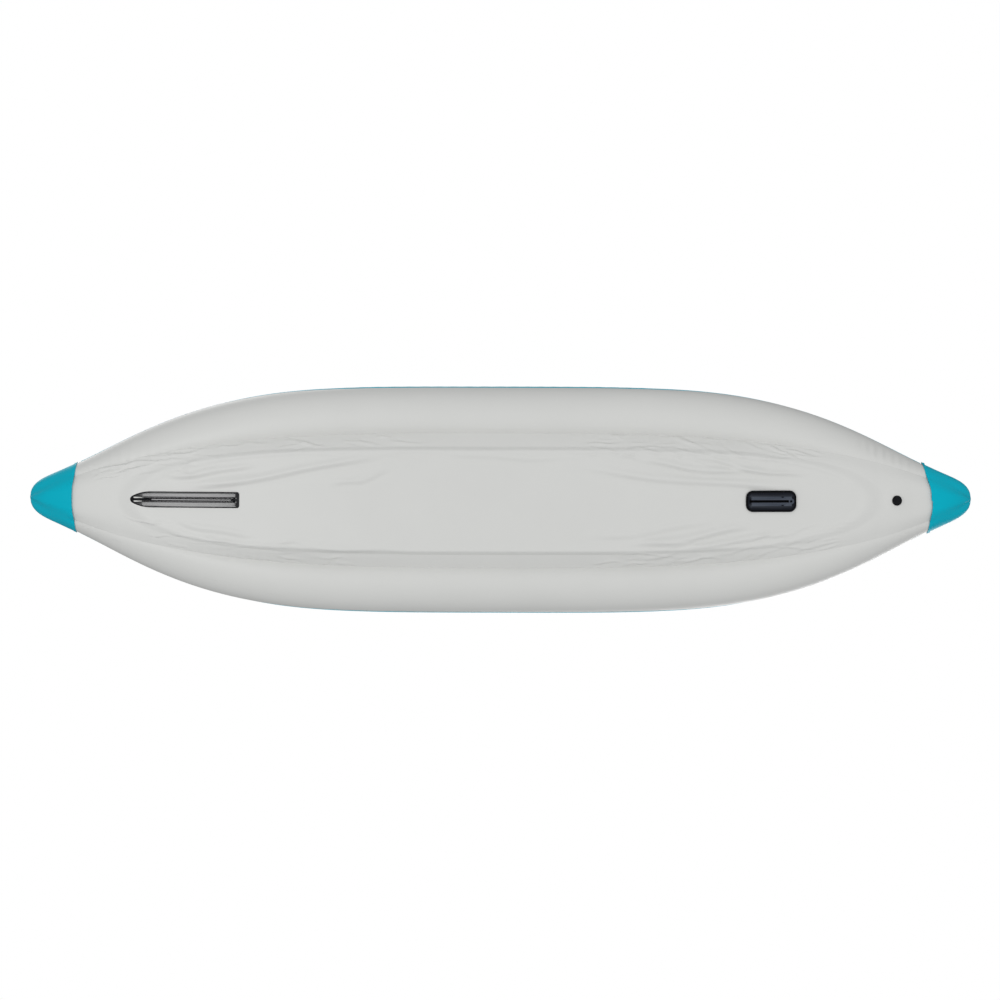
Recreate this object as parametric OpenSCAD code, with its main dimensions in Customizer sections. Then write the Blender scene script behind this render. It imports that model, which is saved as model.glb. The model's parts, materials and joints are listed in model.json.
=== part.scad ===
// Inflatable touring kayak for one paddler: two side air chambers and a drop-stitch floor
// inside a fabric cover, with decks, seat, footrest, valves, fin box, keel strip and drain.
// Millimetres. +X is the bow, +Y is port, +Z is up. The origin is amidships on the
// centreline, at the level of the flat bottom.

/* [Hull] */
// Overall length, bow tip to stern tip
length = 3340; // [3240:10:3440]
// Overall beam across the side tubes
beam = 800; // [790:2:820]
// Radius of a side tube amidships
tube_r = 112; // [108:1:114]
// Height of the side tubes' centreline amidships
tube_mid_z = 138; // [136:1:142]
// Rise of the side tubes' centreline at the tips
sheer_rise = 175; // [150:5:190]
// Rise of the keel line at the tips
rocker_rise = 215; // [190:5:230]
// Half of the length over which the bottom is flat
flat_half = 500; // [480:10:520]
// Radius that rounds the tips in plan
nose_r = 90; // [82:1:96]
// Length of the coloured cap on each tip
cap_len = 178; // [160:2:190]
// Thickness of the coated cover fabric
skin_t = 1.5; // [1.2:0.1:1.8]

/* [Floor] */
// Half width of the drop-stitch floor chamber
floor_half = 190; // [180:1:194]
// Half length of the drop-stitch floor chamber
floor_half_len = 1335; // [1320:5:1345]
// Thickness of the floor chamber
floor_t = 92; // [80:1:95]
// Half width between the lines where tubes and bottom panel meet
crease_half = 240; // [232:1:246]

/* [Cockpit] */
// Distance from the origin to the corners of the bow deck's edge
bow_deck_x = 640; // [620:10:680]
// Distance from the origin to the corners of the stern deck's edge
stern_deck_x = 780; // [760:10:800]
// How far each deck's edge curves back on the centreline
deck_scoop = 110; // [60:10:130]
// Width of the seat
seat_w = 330; // [300:5:334]
// Height of the backrest above its hinge
back_h = 385; // [320:5:420]
// Recline of the backrest when it is in use, in degrees
back_tilt = 12; // [8:1:15]

/* [Underside fittings] */
// Length of the fin box
fin_box_l = 180; // [170:2:190]
// Width of the fin box
fin_box_w = 76; // [72:1:80]
// Width of the fin slot
fin_slot_w = 9; // [8:0.5:10]
// Length of the keel strip
keel_l = 388; // [360:2:400]
// Width of the keel strip
keel_w = 57; // [50:1:60]
// Outer radius of the drain fitting
drain_r = 18; // [16:1:20]

/* [Valves] */
// Outer radius of a valve flange
valve_flange_r = 27; // [25:1:29]
// Outer radius of a valve barrel
valve_barrel_r = 19; // [18:0.5:20]
// Radius of the way through a valve
valve_bore_r = 14; // [13:0.5:14.5]
// Travel of a valve's push stem
stem_travel = 4; // [3:0.5:4]

/* [Hidden] */
$fn = 48;

PORT = 1;
STARBOARD = -1;
BOW = 1;
STERN = -1;

// Plan outline: exponents of the fair curve, and of the rounding at the very tip
plan_p = 4.1;
plan_q = 1.47;
nose_p = 26;
end_p = 30;
// How much the tubes' height shrinks towards the tips
tube_shrink = 57;
// Angles round a tube's section, from outboard (0) over the top (90)
seam_drop = 12;
rim_deg = 78;
liner_end_deg = 200;
// Clearances
chamber_gap = 4;
seam_gap = 0.5;
floor_gap = 2.5;

half_len = length / 2;
main_half = sqrt(pow(beam / 2, 2) - pow(nose_r, 2));
cap_x = half_len - cap_len;
half_stations = 16;

// ---------------------------------------------------------------- hull lines

function along(x) = min(abs(x) / half_len, 1);
function mix(a, b, u) = a + (b - a) * u;
function soft_min(a, b, n) = pow(pow(a, -n) + pow(b, -n), -1 / n);
function unit(v) = v / norm(v);
function mirror_y(points) = [for (p = points) [p[0], -p[1], p[2]]];
function reversed(list) = [for (i = [len(list) - 1:-1:0]) list[i]];

// Half breadth of the whole hull
function rim_y(x) = let (t = along(x))
  sqrt(pow(main_half * pow(1 - pow(t, plan_p), plan_q), 2) + pow(nose_r, 2) * (1 - pow(t, nose_p)));
// The tubes' section is an ellipse, round amidships
function end_round(x) = sqrt(1 - pow(along(x), end_p));
function tube_full_b(x) = tube_r - tube_shrink * pow(along(x), 6);
function tube_a(x) = soft_min(tube_r, rim_y(x) / 2, 6);
function tube_b(x) = tube_full_b(x) * end_round(x);
function tube_y(x) = rim_y(x) - tube_a(x);
function tube_z(x) = tube_mid_z + sheer_rise * pow(along(x), 3);
// Height of the bottom panel on the centreline
function keel_z(x) = rocker_rise * pow(max(0, abs(x) - flat_half) / (half_len - flat_half), 2);
function bottom_z(x) = tube_z(x) - (tube_z(x) - keel_z(x)) * end_round(x);
function keel_slope(x) = 2 * rocker_rise * max(0, abs(x) - flat_half) / pow(half_len - flat_half, 2);
// Half breadths of the floor chamber and of the line where tube and bottom panel meet
function floor_y(x) = floor_half * sqrt(max(0, 1 - pow(abs(x) / floor_half_len, 4)));
function crease_y(x) = crease_half * pow(1 - pow(along(x), 3.2), 0.85);
function crease_deg(x) = -acos(max(-0.9, min(0.9, (crease_y(x) - tube_y(x)) / tube_a(x))));
function seam_deg(x) = -seam_drop * (1 - pow(along(x), 4));

// A point on a tube's section, inset from the cover's outer surface
function tube_point(x, deg, inset = 0) =
  [x, tube_y(x) + (tube_a(x) - inset) * cos(deg), tube_z(x) + (tube_b(x) - inset) * sin(deg)];
function tube_arc(x, from, to, steps, inset = 0) =
  [for (k = [0:steps]) tube_point(x, mix(from, to, k / steps), inset)];

// Bottom panel from the centreline out to just short of the crease: flat under the floor,
// then rising to the tubes
function panel_half(x, inset = 0) =
  let (
    c = crease_y(x),
    flat = 0.85 * floor_y(x),
    first = max(flat, 0.3 * c),
    z0 = bottom_z(x),
    rise = tube_z(x) + tube_b(x) * sin(crease_deg(x)) - z0,
    curve = 1.5 + 2.5 * (1 - floor_y(x) / floor_half)
  )
  [for (y = [0, first, mix(first, c, 0.4), mix(first, c, 0.75)])
    [x, y, z0 + rise * pow(max(0, (y - flat) / (c - flat)), curve) + inset * 1.15]];

// Deck, crowned between the two rims: v runs from 1 at the port rim to -1 at the starboard rim
function rim_point(x) = tube_point(x, rim_deg);
function deck_crown(x) = 0.12 * rim_point(x)[1] * end_round(x);
function deck_point(x, v, inset = 0) =
  [x, v * rim_point(x)[1], rim_point(x)[2] + deck_crown(x) * (1 - v * v) - inset];

// Stations along the hull, closer together towards the tips
function stations(from, to, steps) = [for (i = [0:steps])
  let (u = 2 * i / steps - 1, s = 0.5 * u + 0.5 * sin(90 * u)) mix(from, to, (s + 1) / 2)];

// ---------------------------------------------------------------- surface builders

function flipped(faces) = [for (f = faces) reversed(f)];

// A closed sheet between an outer and an inner grid of the same size
module sheet(outer, inner) {
  m = len(outer);
  n = len(outer[0]);
  shift = m * n;
  faces = [
    for (i = [0:m - 2]) for (j = [0:n - 2])
      let (a = i * n + j, b = a + n, c = b + 1, d = a + 1)
      each [[a, b, c], [a, c, d], [a + shift, c + shift, b + shift], [a + shift, d + shift, c + shift]],
    for (i = [0:m - 2])
      let (a = i * n, b = a + n, d = a + n - 1, c = b + n - 1)
      each [[b, a, a + shift], [b, a + shift, b + shift], [d, c, c + shift], [d, c + shift, d + shift]],
    for (j = [0:n - 2])
      let (a = j, d = j + 1, b = (m - 1) * n + j, c = b + 1)
      each [[c, b, b + shift], [c, b + shift, c + shift], [a, d, d + shift], [a, d + shift, a + shift]]
  ];
  outward = cross(outer[1][0] - outer[0][0], outer[0][1] - outer[0][0]) * (outer[0][0] - inner[0][0]);
  polyhedron(
    points = [for (row = outer) each row, for (row = inner) each row],
    faces = outward > 0 ? flipped(faces) : faces, convexity = 6);
}

// A closed body through rings of points, each end drawn to a point
module loft(rings, start, end) {
  m = len(rings);
  n = len(rings[0]);
  sides = [for (i = [0:m - 2]) for (j = [0:n - 1])
    let (k = (j + 1) % n, a = i * n + j, b = a + n, c = (i + 1) * n + k, d = i * n + k)
    each [[a, b, c], [a, c, d]]];
  ends = [for (j = [0:n - 1])
    let (k = (j + 1) % n)
    each [[j, k, m * n], [(m - 1) * n + k, (m - 1) * n + j, m * n + 1]]];
  faces = concat(sides, ends);
  outward = cross(rings[1][0] - rings[0][0], rings[0][1] - rings[0][0])
    * (rings[0][0] - start);
  polyhedron(
    points = [for (ring = rings) each ring, start, end],
    faces = outward > 0 ? flipped(faces) : faces, convexity = 6);
}

// A flat profile [side, up] swept along a path
module sweep(path, profile, up = [0, 0, 1]) {
  last = len(path) - 1;
  rings = [for (i = [0:last])
    let (
      d = unit(path[min(i + 1, last)] - path[max(i - 1, 0)]),
      s = unit(cross(d, up)),
      n = cross(s, d)
    )
    [for (q = profile) path[i] + s * q[0] + n * q[1]]];
  loft(rings, path[0], path[last]);
}

function ngon(r, n) = [for (k = [0:n - 1]) [r * cos(360 * k / n), r * sin(360 * k / n)]];
function strip(w, t) = [[-w / 2, -t / 2], [w / 2, -t / 2], [w / 2, t / 2], [-w / 2, t / 2]];

// A plate with round corners, its underside at z = 0
module round_plate(l, w, h, r) {
  translate([-l / 2 + r, -w / 2, 0]) cube([l - 2 * r, w, h]);
  translate([-l / 2, -w / 2 + r, 0]) cube([l, w - 2 * r, h]);
  for (x = [-1, 1], y = [-1, 1])
    translate([x * (l / 2 - r), y * (w / 2 - r), 0]) cylinder(r = r, h = h);
}

module ring(outer_r, inner_r, h) {
  difference() {
    cylinder(r = outer_r, h = h);
    translate([0, 0, -1]) cylinder(r = inner_r, h = h + 2);
  }
}

// Follows the underside: z = 0 of the child lies on the hull, and its +z points out of it
module on_underside(x, y = 0, off = 0) {
  tilt = atan(keel_slope(x)) * sign(x);
  translate([x, y, bottom_z(x)]) rotate([180, 0, 0]) rotate([0, tilt, 0])
    translate([0, 0, off]) children();
}

// ---------------------------------------------------------------- cover

function bottom_section(x, inset) =
  let (
    port = concat(panel_half(x, inset), tube_arc(x, crease_deg(x), seam_deg(x), 7, inset)),
    starboard = mirror_y(port)
  )
  concat(reversed(starboard), [for (i = [1:len(port) - 1]) port[i]]);

drain_x = -1403;
drain_tilt = atan(keel_slope(drain_x));

module hull_bottom_skin() color("#cbccca") {
  xs = stations(-cap_x, cap_x, 2 * half_stations);
  difference() {
    sheet([for (x = xs) bottom_section(x, 0)], [for (x = xs) bottom_section(x, skin_t)]);
    on_underside(drain_x, 0, -12) cylinder(r = drain_r - 4, h = 30);
  }
}

function side_rows(inset) = [for (x = stations(-cap_x, cap_x, 2 * half_stations))
  tube_arc(x, seam_deg(x) + 0.3, rim_deg - 0.3, 6, inset)];

module side_cover(side) color("#00a5ba") mirror([0, side == PORT ? 0 : 1, 0])
  sheet(side_rows(0), side_rows(skin_t));

valve_x = -600;
valve_y = tube_y(valve_x);
valve_z = tube_point(valve_x, 90)[2];

// The inner liner follows the tube from the rim down to the floor
function liner_rows(inset) = [for (x = stations(-stern_deck_x - 60, bow_deck_x + 60, 20))
  tube_arc(x, rim_deg + 0.3, liner_end_deg, 8, inset)];

module inner_liner(side) color("#3a3f45") mirror([0, side == PORT ? 0 : 1, 0])
  difference() {
    sheet(liner_rows(0), liner_rows(skin_t));
    translate([valve_x, valve_y, valve_z - 20]) cylinder(r = valve_barrel_r + 1, h = 40);
  }

// One end's deck, from a scooped edge at the cockpit to the tip's cap
function deck_rows(end, edge, inset) = [for (i = [0:10]) [for (k = [0:10])
  let (v = 1 - k / 5, start = edge + deck_scoop * (1 - v * v))
  deck_point(end * mix(start, cap_x, i / 10), v * 0.995, inset)]];

deck_lift = 2.2;

module deck(end, edge) color("#00a5ba") translate([0, 0, deck_lift])
  sheet(deck_rows(end, edge, 0), deck_rows(end, edge, skin_t));

// The whole hull's outline at a station, as one closed ring
function hull_ring(x, inset) =
  let (
    half = concat(
      panel_half(x, inset),
      tube_arc(x, crease_deg(x), rim_deg, 9, inset),
      [for (v = [0.75, 0.5, 0.25]) deck_point(x, v, inset)]),
    port = [for (i = [1:len(half) - 1]) half[i]]
  )
  concat([half[0]], port, [deck_point(x, 0, inset)], reversed(mirror_y(port)));

module cap(end) color("#00a2bb") {
  // The last ring stands just short of the tip, and the inside ends further back
  tip = 0.997;
  inner_tip = half_len * 0.979;
  wall = skin_t * 1.6;
  base = cap_x + seam_gap;
  outer_xs = [for (u = [0:0.125:1]) mix(base, half_len * tip, pow(u, 0.75))];
  inner_xs = [for (u = [0:0.2:1]) mix(base, half_len * 0.975, pow(u, 0.75))];
  difference() {
    loft([for (x = outer_xs) hull_ring(end * x, 0)],
      [end * base, 0, tube_z(base)], [end * half_len, 0, tube_z(half_len)]);
    loft([for (x = concat([base - 5], inner_xs)) hull_ring(end * x, wall)],
      [end * (base - 5), 0, tube_z(base)], [end * inner_tip, 0, tube_z(inner_tip)]);
  }
}

// ---------------------------------------------------------------- air chambers

// Each chamber's ends close over the last few rings: [distance from the tip, scale]
chamber_ends = [[118, 1], [100, 0.86], [90, 0.6]];

function chamber_ring(x, scale) = let (inset = skin_t + chamber_gap)
  [for (k = [0:15]) let (deg = 22.5 * k) [
    x,
    tube_y(x) + (tube_a(x) - inset) * scale * cos(deg),
    tube_z(x) + (tube_b(x) - inset) * scale * sin(deg)]];

module air_chamber(side) color("#8d9296") mirror([0, side == PORT ? 0 : 1, 0]) {
  close_x = half_len - 86;
  reach = half_len - chamber_ends[0][0];
  ends = [for (e = chamber_ends) [half_len - e[0], e[1]]];
  rings = concat(
    [for (e = reversed(ends)) chamber_ring(-e[0], e[1])],
    [for (i = [1:2 * half_stations - 1]) chamber_ring(stations(-reach, reach, 2 * half_stations)[i], 1)],
    [for (e = ends) chamber_ring(e[0], e[1])]);
  difference() {
    loft(rings, [-close_x, tube_y(close_x), tube_z(close_x)], [close_x, tube_y(close_x), tube_z(close_x)]);
    translate([valve_x, valve_y, valve_z - 38]) cylinder(r = valve_barrel_r + 1, h = 60);
  }
}

// Where the inside of a tube's cover is at height z, so that the floor keeps clear of it
function tube_inside_y(x, z) = let (s = (z - tube_z(x)) / tube_b(x))
  abs(s) < 1 ? tube_y(x) - tube_a(x) * sqrt(1 - s * s) - 3 : 1000;

// The floor's section: [height as a share of its thickness, inset from its side]
floor_profile = [[0.03, 30], [0.1, 10], [0.3, 0], [0.5, 0], [0.66, 0], [0.8, 4], [0.92, 12], [1, 30]];

function floor_ring(x) =
  let (
    f = floor_y(x),
    z0 = keel_z(x) + skin_t + floor_gap,
    half = [for (p = floor_profile)
      let (z = z0 + floor_t * p[0]) [x, min(f - min(p[1], 0.6 * f), tube_inside_y(x, z)), z]]
  )
  concat(half, reversed(mirror_y(half)));

function floor_top_z(x) = keel_z(x) + skin_t + floor_gap + floor_t;

floor_valve_x = -690;

module floor_chamber() color("#6e7479") {
  reach = floor_half_len * 0.985;
  xs = stations(-reach, reach, 24);
  mid_z = function (x) keel_z(x) + floor_t / 2;
  difference() {
    loft([for (x = xs) floor_ring(x)],
      [-floor_half_len, 0, mid_z(floor_half_len)], [floor_half_len, 0, mid_z(floor_half_len)]);
    translate([floor_valve_x, 0, floor_top_z(floor_valve_x) - 38]) cylinder(r = valve_barrel_r + 1, h = 60);
  }
}

mat_t = 4;
mat_end = 590;
mat_half = 150;
mat_gap = 1.4;

function mat_rows(lift) = [for (x = stations(-mat_end, bow_deck_x + 40, 20))
  [for (v = [-1, 0, 1]) [x, v * mat_half, floor_top_z(x) + mat_gap + lift]]];

module floor_mat() color("#2c3035") sheet(mat_rows(mat_t), mat_rows(0));

// ---------------------------------------------------------------- underside fittings

keel_x = 1117;
keel_base_t = 3;
keel_fin_h = 12;
keel_fin_w = 9;

// Half width of the keel strip's foot: square aft, pointed forward
function keel_half_w(u) = keel_w / 2 * (u < 0.8 ? 1 : sqrt(max(0.01, 1 - pow((u - 0.8) / 0.2, 2))));

// Height of the strip's blade above its foot, ramped at the front
function keel_blade_h(u) = keel_fin_h * min(1, u / 0.03, max(0.02, (1 - u) / 0.16));

module bow_keel_strip() color("#24272b") {
  us = [0, 0.015, 0.03, 0.2, 0.4, 0.6, 0.8, 0.84, 0.9, 0.95, 0.985];
  rings = [for (u = us)
    let (
      x = keel_x - keel_l / 2 + keel_l * u,
      z = bottom_z(x) - 0.5,
      w = keel_half_w(u),
      b = min(keel_fin_w / 2, w * 0.6),
      h = keel_blade_h(u)
    )
    [[x, -w, z], [x, w, z], [x, w, z - 1], [x, w * 0.85, z - keel_base_t], [x, b, z - keel_base_t],
      [x, b * 0.75, z - keel_base_t - h], [x, -b * 0.75, z - keel_base_t - h], [x, -b, z - keel_base_t],
      [x, -w * 0.85, z - keel_base_t], [x, -w, z - 1]]];
  x0 = keel_x - keel_l / 2;
  x1 = keel_x + keel_l / 2;
  loft(rings, [x0 - 0.1, 0, bottom_z(x0) - 2], [x1, 0, bottom_z(x1) - 1.5]);
}

fin_x = -956;
fin_off = 1.6;
fin_flange_t = 3;
fin_step_t = 2.5;
fin_rail_w = 12;
fin_rail_h = 9;
fin_slot_l = 140;
fin_slot_floor = 1.2;
fin_undercut_w = 3;
fin_undercut_h = 3;
fin_pin_r = 4;
fin_notch_l = 9;
fin_corner_r = 25;
// Distance from the box's middle back to the slot's aft end and the latch hole
fin_slot_end = fin_slot_l / 2;
// How far the rails stop short of the box's ends
fin_rail_margin = 18;

module fin_box() color("#2a2f3a") on_underside(fin_x, 0, fin_off)
  difference() {
    rail_y = fin_slot_w / 2 + fin_rail_w / 2;
    slot_fore = fin_box_l / 2 - fin_rail_margin + 6;
    union() {
      round_plate(fin_box_l, fin_box_w, fin_flange_t, fin_corner_r);
      translate([0, 0, fin_flange_t - 1])
        round_plate(fin_box_l - 14, fin_box_w - 16, fin_step_t + 1, fin_corner_r - 7);
      for (s = [-1, 1])
        translate([-fin_box_l / 2 + fin_rail_margin, s * rail_y - fin_rail_w / 2, fin_flange_t])
          cube([fin_box_l - 2 * fin_rail_margin, fin_rail_w, fin_rail_h]);
      translate([-fin_slot_end, 0, fin_flange_t]) cylinder(r = rail_y, h = fin_rail_h);
    }
    // The slot that the fin's foot slides along, open at its forward end
    translate([-fin_slot_end + 8, -fin_slot_w / 2, fin_slot_floor])
      cube([slot_fore + fin_slot_end - 8, fin_slot_w, 20]);
    // Wider undercut for the foot's flange
    translate([-fin_slot_end + 16, -fin_slot_w / 2 - fin_undercut_w, fin_slot_floor])
      cube([slot_fore + fin_slot_end - 16, fin_slot_w + 2 * fin_undercut_w, fin_undercut_h]);
    // Latch hole behind the slot's aft end
    translate([-fin_slot_end, 0, fin_slot_floor]) cylinder(r = fin_pin_r, h = 20);
    // Click notches across the rails' outer edges
    for (s = [-1, 1])
      translate([-fin_slot_end + 26, s * (rail_y + fin_rail_w / 2 - 1) - 3, 2 * fin_flange_t])
        cube([fin_notch_l, 6, 12]);
  }

drain_depth = 14;
drain_bore = 10;

module on_drain() { on_underside(drain_x, 0, 0) children(); }

module drain_seat() color("#17191b") on_drain() {
  translate([0, 0, 0.6]) ring(drain_r, drain_bore, 2.4);
  translate([0, 0, -drain_depth]) ring(drain_r - 5, drain_bore, drain_depth + 1);
}

module drain_seal() color("#3c3c3c") on_drain()
  translate([0, 0, 3.3]) rotate_extrude() translate([drain_bore + 1.6, 0.7]) circle(r = 0.7, $fn = 24);

module drain_plug() color("#1f2224") on_drain() {
  translate([0, 0, -drain_depth + 2]) cylinder(r = drain_bore - 0.1, h = drain_depth + 2.9);
  translate([0, 0, 4.8]) cylinder(r = drain_bore + 4, h = 3);
  translate([-drain_bore, -1.5, 7.5]) cube([2 * drain_bore, 3, 2.5]);
}

// ---------------------------------------------------------------- valves

// All valve modules have the flange's underside at z = 0 and open upwards
module valve_body() color("#2e3338") {
  difference() {
    union() {
      cylinder(r = valve_flange_r, h = 3);
      cylinder(r = valve_barrel_r, h = 9);
      translate([0, 0, -30]) cylinder(r = valve_barrel_r, h = 31);
    }
    translate([0, 0, -7]) cylinder(r = valve_bore_r, h = 20);
    translate([0, 0, -31]) cylinder(r = valve_bore_r, h = 21);
    // Four airways between the spokes that guide the stem
    for (a = [0:90:270])
      rotate([0, 0, a]) translate([7.5, 0, -12]) cylinder(r = 4, h = 10);
    translate([0, 0, -12]) cylinder(r = 2.45, h = 10);
  }
}

module valve_stem() color("#d8dadb") {
  translate([0, 0, -12]) cylinder(r = 2.4, h = 16);
  translate([0, 0, 3]) cylinder(r = 7, h = 3);
  // The flap seals against the underside of the web and opens when the stem is pressed
  translate([0, 0, -13.2]) cylinder(r = valve_bore_r - 0.6, h = 3);
}

spring_turns = 3;
spring_steps = 10;
spring_r = 4;
spring_wire_r = 0.45;
spring_foot_z = -6.3;
spring_h = 8.4;

// Compression spring between the body's web and the stem's head
module valve_spring() color("#b8bcc0") {
  path = [for (i = [0:spring_turns * spring_steps]) let (turn = i / spring_steps) [
    spring_r * cos(360 * turn),
    spring_r * sin(360 * turn),
    spring_foot_z + spring_h * turn / spring_turns]];
  sweep(path, ngon(spring_wire_r, 5));
}

module valve_cap() color("#24282c") {
  difference() {
    translate([0, 0, 3.6]) cylinder(r = valve_barrel_r + 4, h = 12);
    translate([0, 0, 3]) cylinder(r = valve_barrel_r + 0.3, h = 9.2);
  }
  for (a = [0:45:315])
    rotate([0, 0, a]) translate([valve_barrel_r + 3.6, -2, 5]) cube([1.6, 4, 9]);
}

module valve_cap_seal() color("#4a4a4a")
  translate([0, 0, 9.3]) ring(valve_barrel_r - 0.4, valve_bore_r + 1, 2.6);

flange_lift = 2.4;

module at_tube_valve(side) translate([valve_x, side * valve_y, valve_z + flange_lift]) children();
module at_floor_valve() translate([floor_valve_x, 0, floor_top_z(floor_valve_x) + flange_lift]) children();

// ---------------------------------------------------------------- seat

hinge_x = -500;
hinge_z = 176;
cushion_l = 372;
cushion_z = floor_top_z(0) + mat_gap + mat_t + 2;

module seat_cushion() color("#33383e")
  translate([hinge_x + 4 + cushion_l / 2, 0, cushion_z])
    round_plate(cushion_l, seat_w, hinge_z - 3 - cushion_z, 60);

back_t = 52;

// Turns children from upright to the backrest's recline, about its hinge
module on_backrest() translate([hinge_x, 0, hinge_z]) rotate([0, -back_tilt, 0]) children();

module seat_backrest() color("#33383e") on_backrest()
  translate([-3, 0, 3 + back_h / 2]) rotate([0, -90, 0]) round_plate(back_h, seat_w, back_t, 60);

webbing_t = 1.6;
strap_w = 25;
front_ring_x = 60;
rear_ring_x = -712;
ring_lift = 12;

// A ring's place on top of a tube
function ring_point(x, side) = [x, side * tube_y(x), tube_point(x, 90)[2] + ring_lift];
function sheer_slope(x) = 3 * sheer_rise * pow(along(x), 2) / half_len * sign(x);
// Where a strap meets the backrest's side, and where on its back
function back_point(up, out, behind) = [
  hinge_x - (up * sin(back_tilt) + behind * cos(back_tilt)),
  out,
  hinge_z + up * cos(back_tilt) - behind * sin(back_tilt)];

function front_strap_path(side) = let (
    a = back_point(250, side * (seat_w / 2 + 8), 28),
    b = ring_point(front_ring_x, side) + [-22, 0, 3]
  ) [for (u = [0:0.125:1]) mix(a, b, u) - [0, 0, 14 * sin(180 * u)]];

function rear_strap_path(side) = let (
    a = back_point(330, side * 120, back_t + 18),
    b = ring_point(rear_ring_x, side) + [18, 0, 3]
  ) [for (u = [0:0.25:1]) mix(a, b, u)];

module front_strap(side) color("#1c1e21")
  sweep(front_strap_path(side), strip(strap_w, webbing_t), [0, side, 0.6]);

module rear_strap(side) color("#1c1e21")
  sweep(rear_strap_path(side), strip(strap_w, webbing_t));

// Ladder-lock buckles, one part way along each front strap
module strap_buckles() color("#202327") for (side = [PORT, STARBOARD]) {
  path = front_strap_path(side);
  d = unit(path[6] - path[5]);
  s = unit(cross(d, [0, side, 0.6]));
  n = cross(s, d);
  c = mix(path[5], path[6], 0.5) + n * (webbing_t + 2.4);
  multmatrix([[d[0], s[0], n[0], c[0]], [d[1], s[1], n[1], c[1]], [d[2], s[2], n[2], c[2]], [0, 0, 0, 1]])
    difference() {
      translate([-19, -17, -2]) cube([38, 34, 4]);
      for (x = [-12, 2]) translate([x, -12.5, -3]) cube([9, 25, 6]);
    }
}

// Stainless D-rings and the patches and tabs that hold them, on top of the tubes
d_ring_r = 14;
d_wire_r = 1.75;

module at_rings() {
  for (x = [front_ring_x, rear_ring_x], side = [PORT, STARBOARD]) {
    toward = x == front_ring_x ? -1 : 1;
    p = ring_point(x, side);
    translate([p[0], p[1], p[2] - ring_lift + 1.5]) rotate([0, -atan(sheer_slope(x)), 0])
      rotate([0, 0, toward > 0 ? 0 : 180]) children();
  }
}

module strap_d_rings() color("#c9ccd0") at_rings() translate([-d_ring_r, 0, 6]) {
  rotate_extrude(angle = 180, start = -90) translate([d_ring_r, 0]) circle(r = d_wire_r, $fn = 24);
  rotate([90, 0, 0]) translate([0, 0, -d_ring_r]) cylinder(r = d_wire_r, h = 2 * d_ring_r, $fn = 24);
}

module d_ring_patches() color("#2b2f34") at_rings() {
  translate([-d_ring_r - 6, 0, 0.5]) round_plate(64, 30, 1.6, 10);
  // Folded tab over the ring's bar
  translate([-d_ring_r - 12, -10, 1.8]) difference() {
    cube([15, 20, 7.4]);
    translate([-1, -1, 2]) cube([3.5, 22, 10]);
    translate([12, 10, 4.2]) rotate([90, 0, 0]) cylinder(r = 2.2, h = 24, center = true);
    translate([12, -1, 2]) cube([6, 22, 4.4]);
  }
}

// ---------------------------------------------------------------- footrest

footrest_x = 520;
footrest_r = 55;
footrest_w = 290;
footrest_z = floor_top_z(footrest_x) + mat_gap + mat_t + 4 + footrest_r;

module footrest() color("#33383e") translate([footrest_x, 0, footrest_z]) rotate([90, 0, 0]) hull() {
  cylinder(r = footrest_r, h = footrest_w - 50, center = true, $fn = 32);
  cylinder(r = footrest_r - 18, h = footrest_w, center = true, $fn = 32);
}

// A webbing loop round the middle of the footrest
module footrest_strap() color("#1c1e21") translate([footrest_x, 0, footrest_z]) rotate([90, 0, 0])
  difference() {
    cylinder(r = footrest_r + 0.7 + webbing_t, h = 38, center = true);
    cylinder(r = footrest_r + 0.7, h = 40, center = true);
  }

// ---------------------------------------------------------------- carry handles

handle_x = 1385;
handle_half = 55;
handle_reach = 62;
handle_lift = 14;
handle_bar_r = 2.1;
handle_strip_w = 16;
grip_r = 9;
grip_rise = 4;

handle_z = deck_point(handle_x, 0)[2] + handle_lift;
handle_deg = atan((deck_point(handle_x, 0)[2] - deck_point(handle_x - handle_reach, 0)[2]) / handle_reach);

// Children lie in the plane of the deck, with the pivot line along Y and the boat's end at +x
module at_handle(end) translate([end * handle_x, 0, handle_z]) rotate([0, 0, end == BOW ? 0 : 180])
  rotate([0, -handle_deg, 0]) children();

module bar_y(r, h) rotate([90, 0, 0]) cylinder(r = r, h = h, center = true);

// The handle lies inboard from its pivot line and is swung up to carry
module handle_grip(end) color("#1b1d20") at_handle(end) translate([-handle_reach, 0, grip_rise])
  difference() {
    bar_y(grip_r, 2 * handle_half - 20);
    bar_y(grip_r - 3, 2 * handle_half);
  }

module handle_webbing(end) color("#24272b") at_handle(end) {
  for (s = [-1, 1]) translate([0, s * handle_half, 0]) difference() {
    union() {
      // A strip of doubled webbing from the pivot bar to the grip
      translate([-handle_reach, -handle_strip_w / 2, -1]) rotate([0, -3.5, 0])
        translate([0, 0, 3.8]) cube([handle_reach - 3, handle_strip_w, 2]);
      bar_y(handle_bar_r + 2.1, handle_strip_w);
    }
    bar_y(handle_bar_r + 0.1, handle_strip_w + 2);
  }
  // The webbing rolled up inside the grip, out to both strips
  translate([-handle_reach, 0, grip_rise]) bar_y(5, 2 * handle_half + 14);
}

// Pivot bars of the handle, each between two lugs on a patch
module handle_anchors(end) color("#2b2f34") at_handle(end)
  for (s = [-1, 1]) translate([0, s * handle_half, 0]) {
    bar_y(handle_bar_r, 26);
    for (k = [-1, 1])
      translate([-5, k * 11.5 - 1.5, -8]) cube([10, 3, 11]);
    translate([-20, -14, -10]) cube([40, 28, 2.4]);
  }

// ---------------------------------------------------------------- deck cords

cord_r = 3;

// Four loops on each deck: [distance from the origin, share of the half breadth]
function loop_places(edge) = [[edge + 190, 0.62], [edge + 470, 0.5]];

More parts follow.
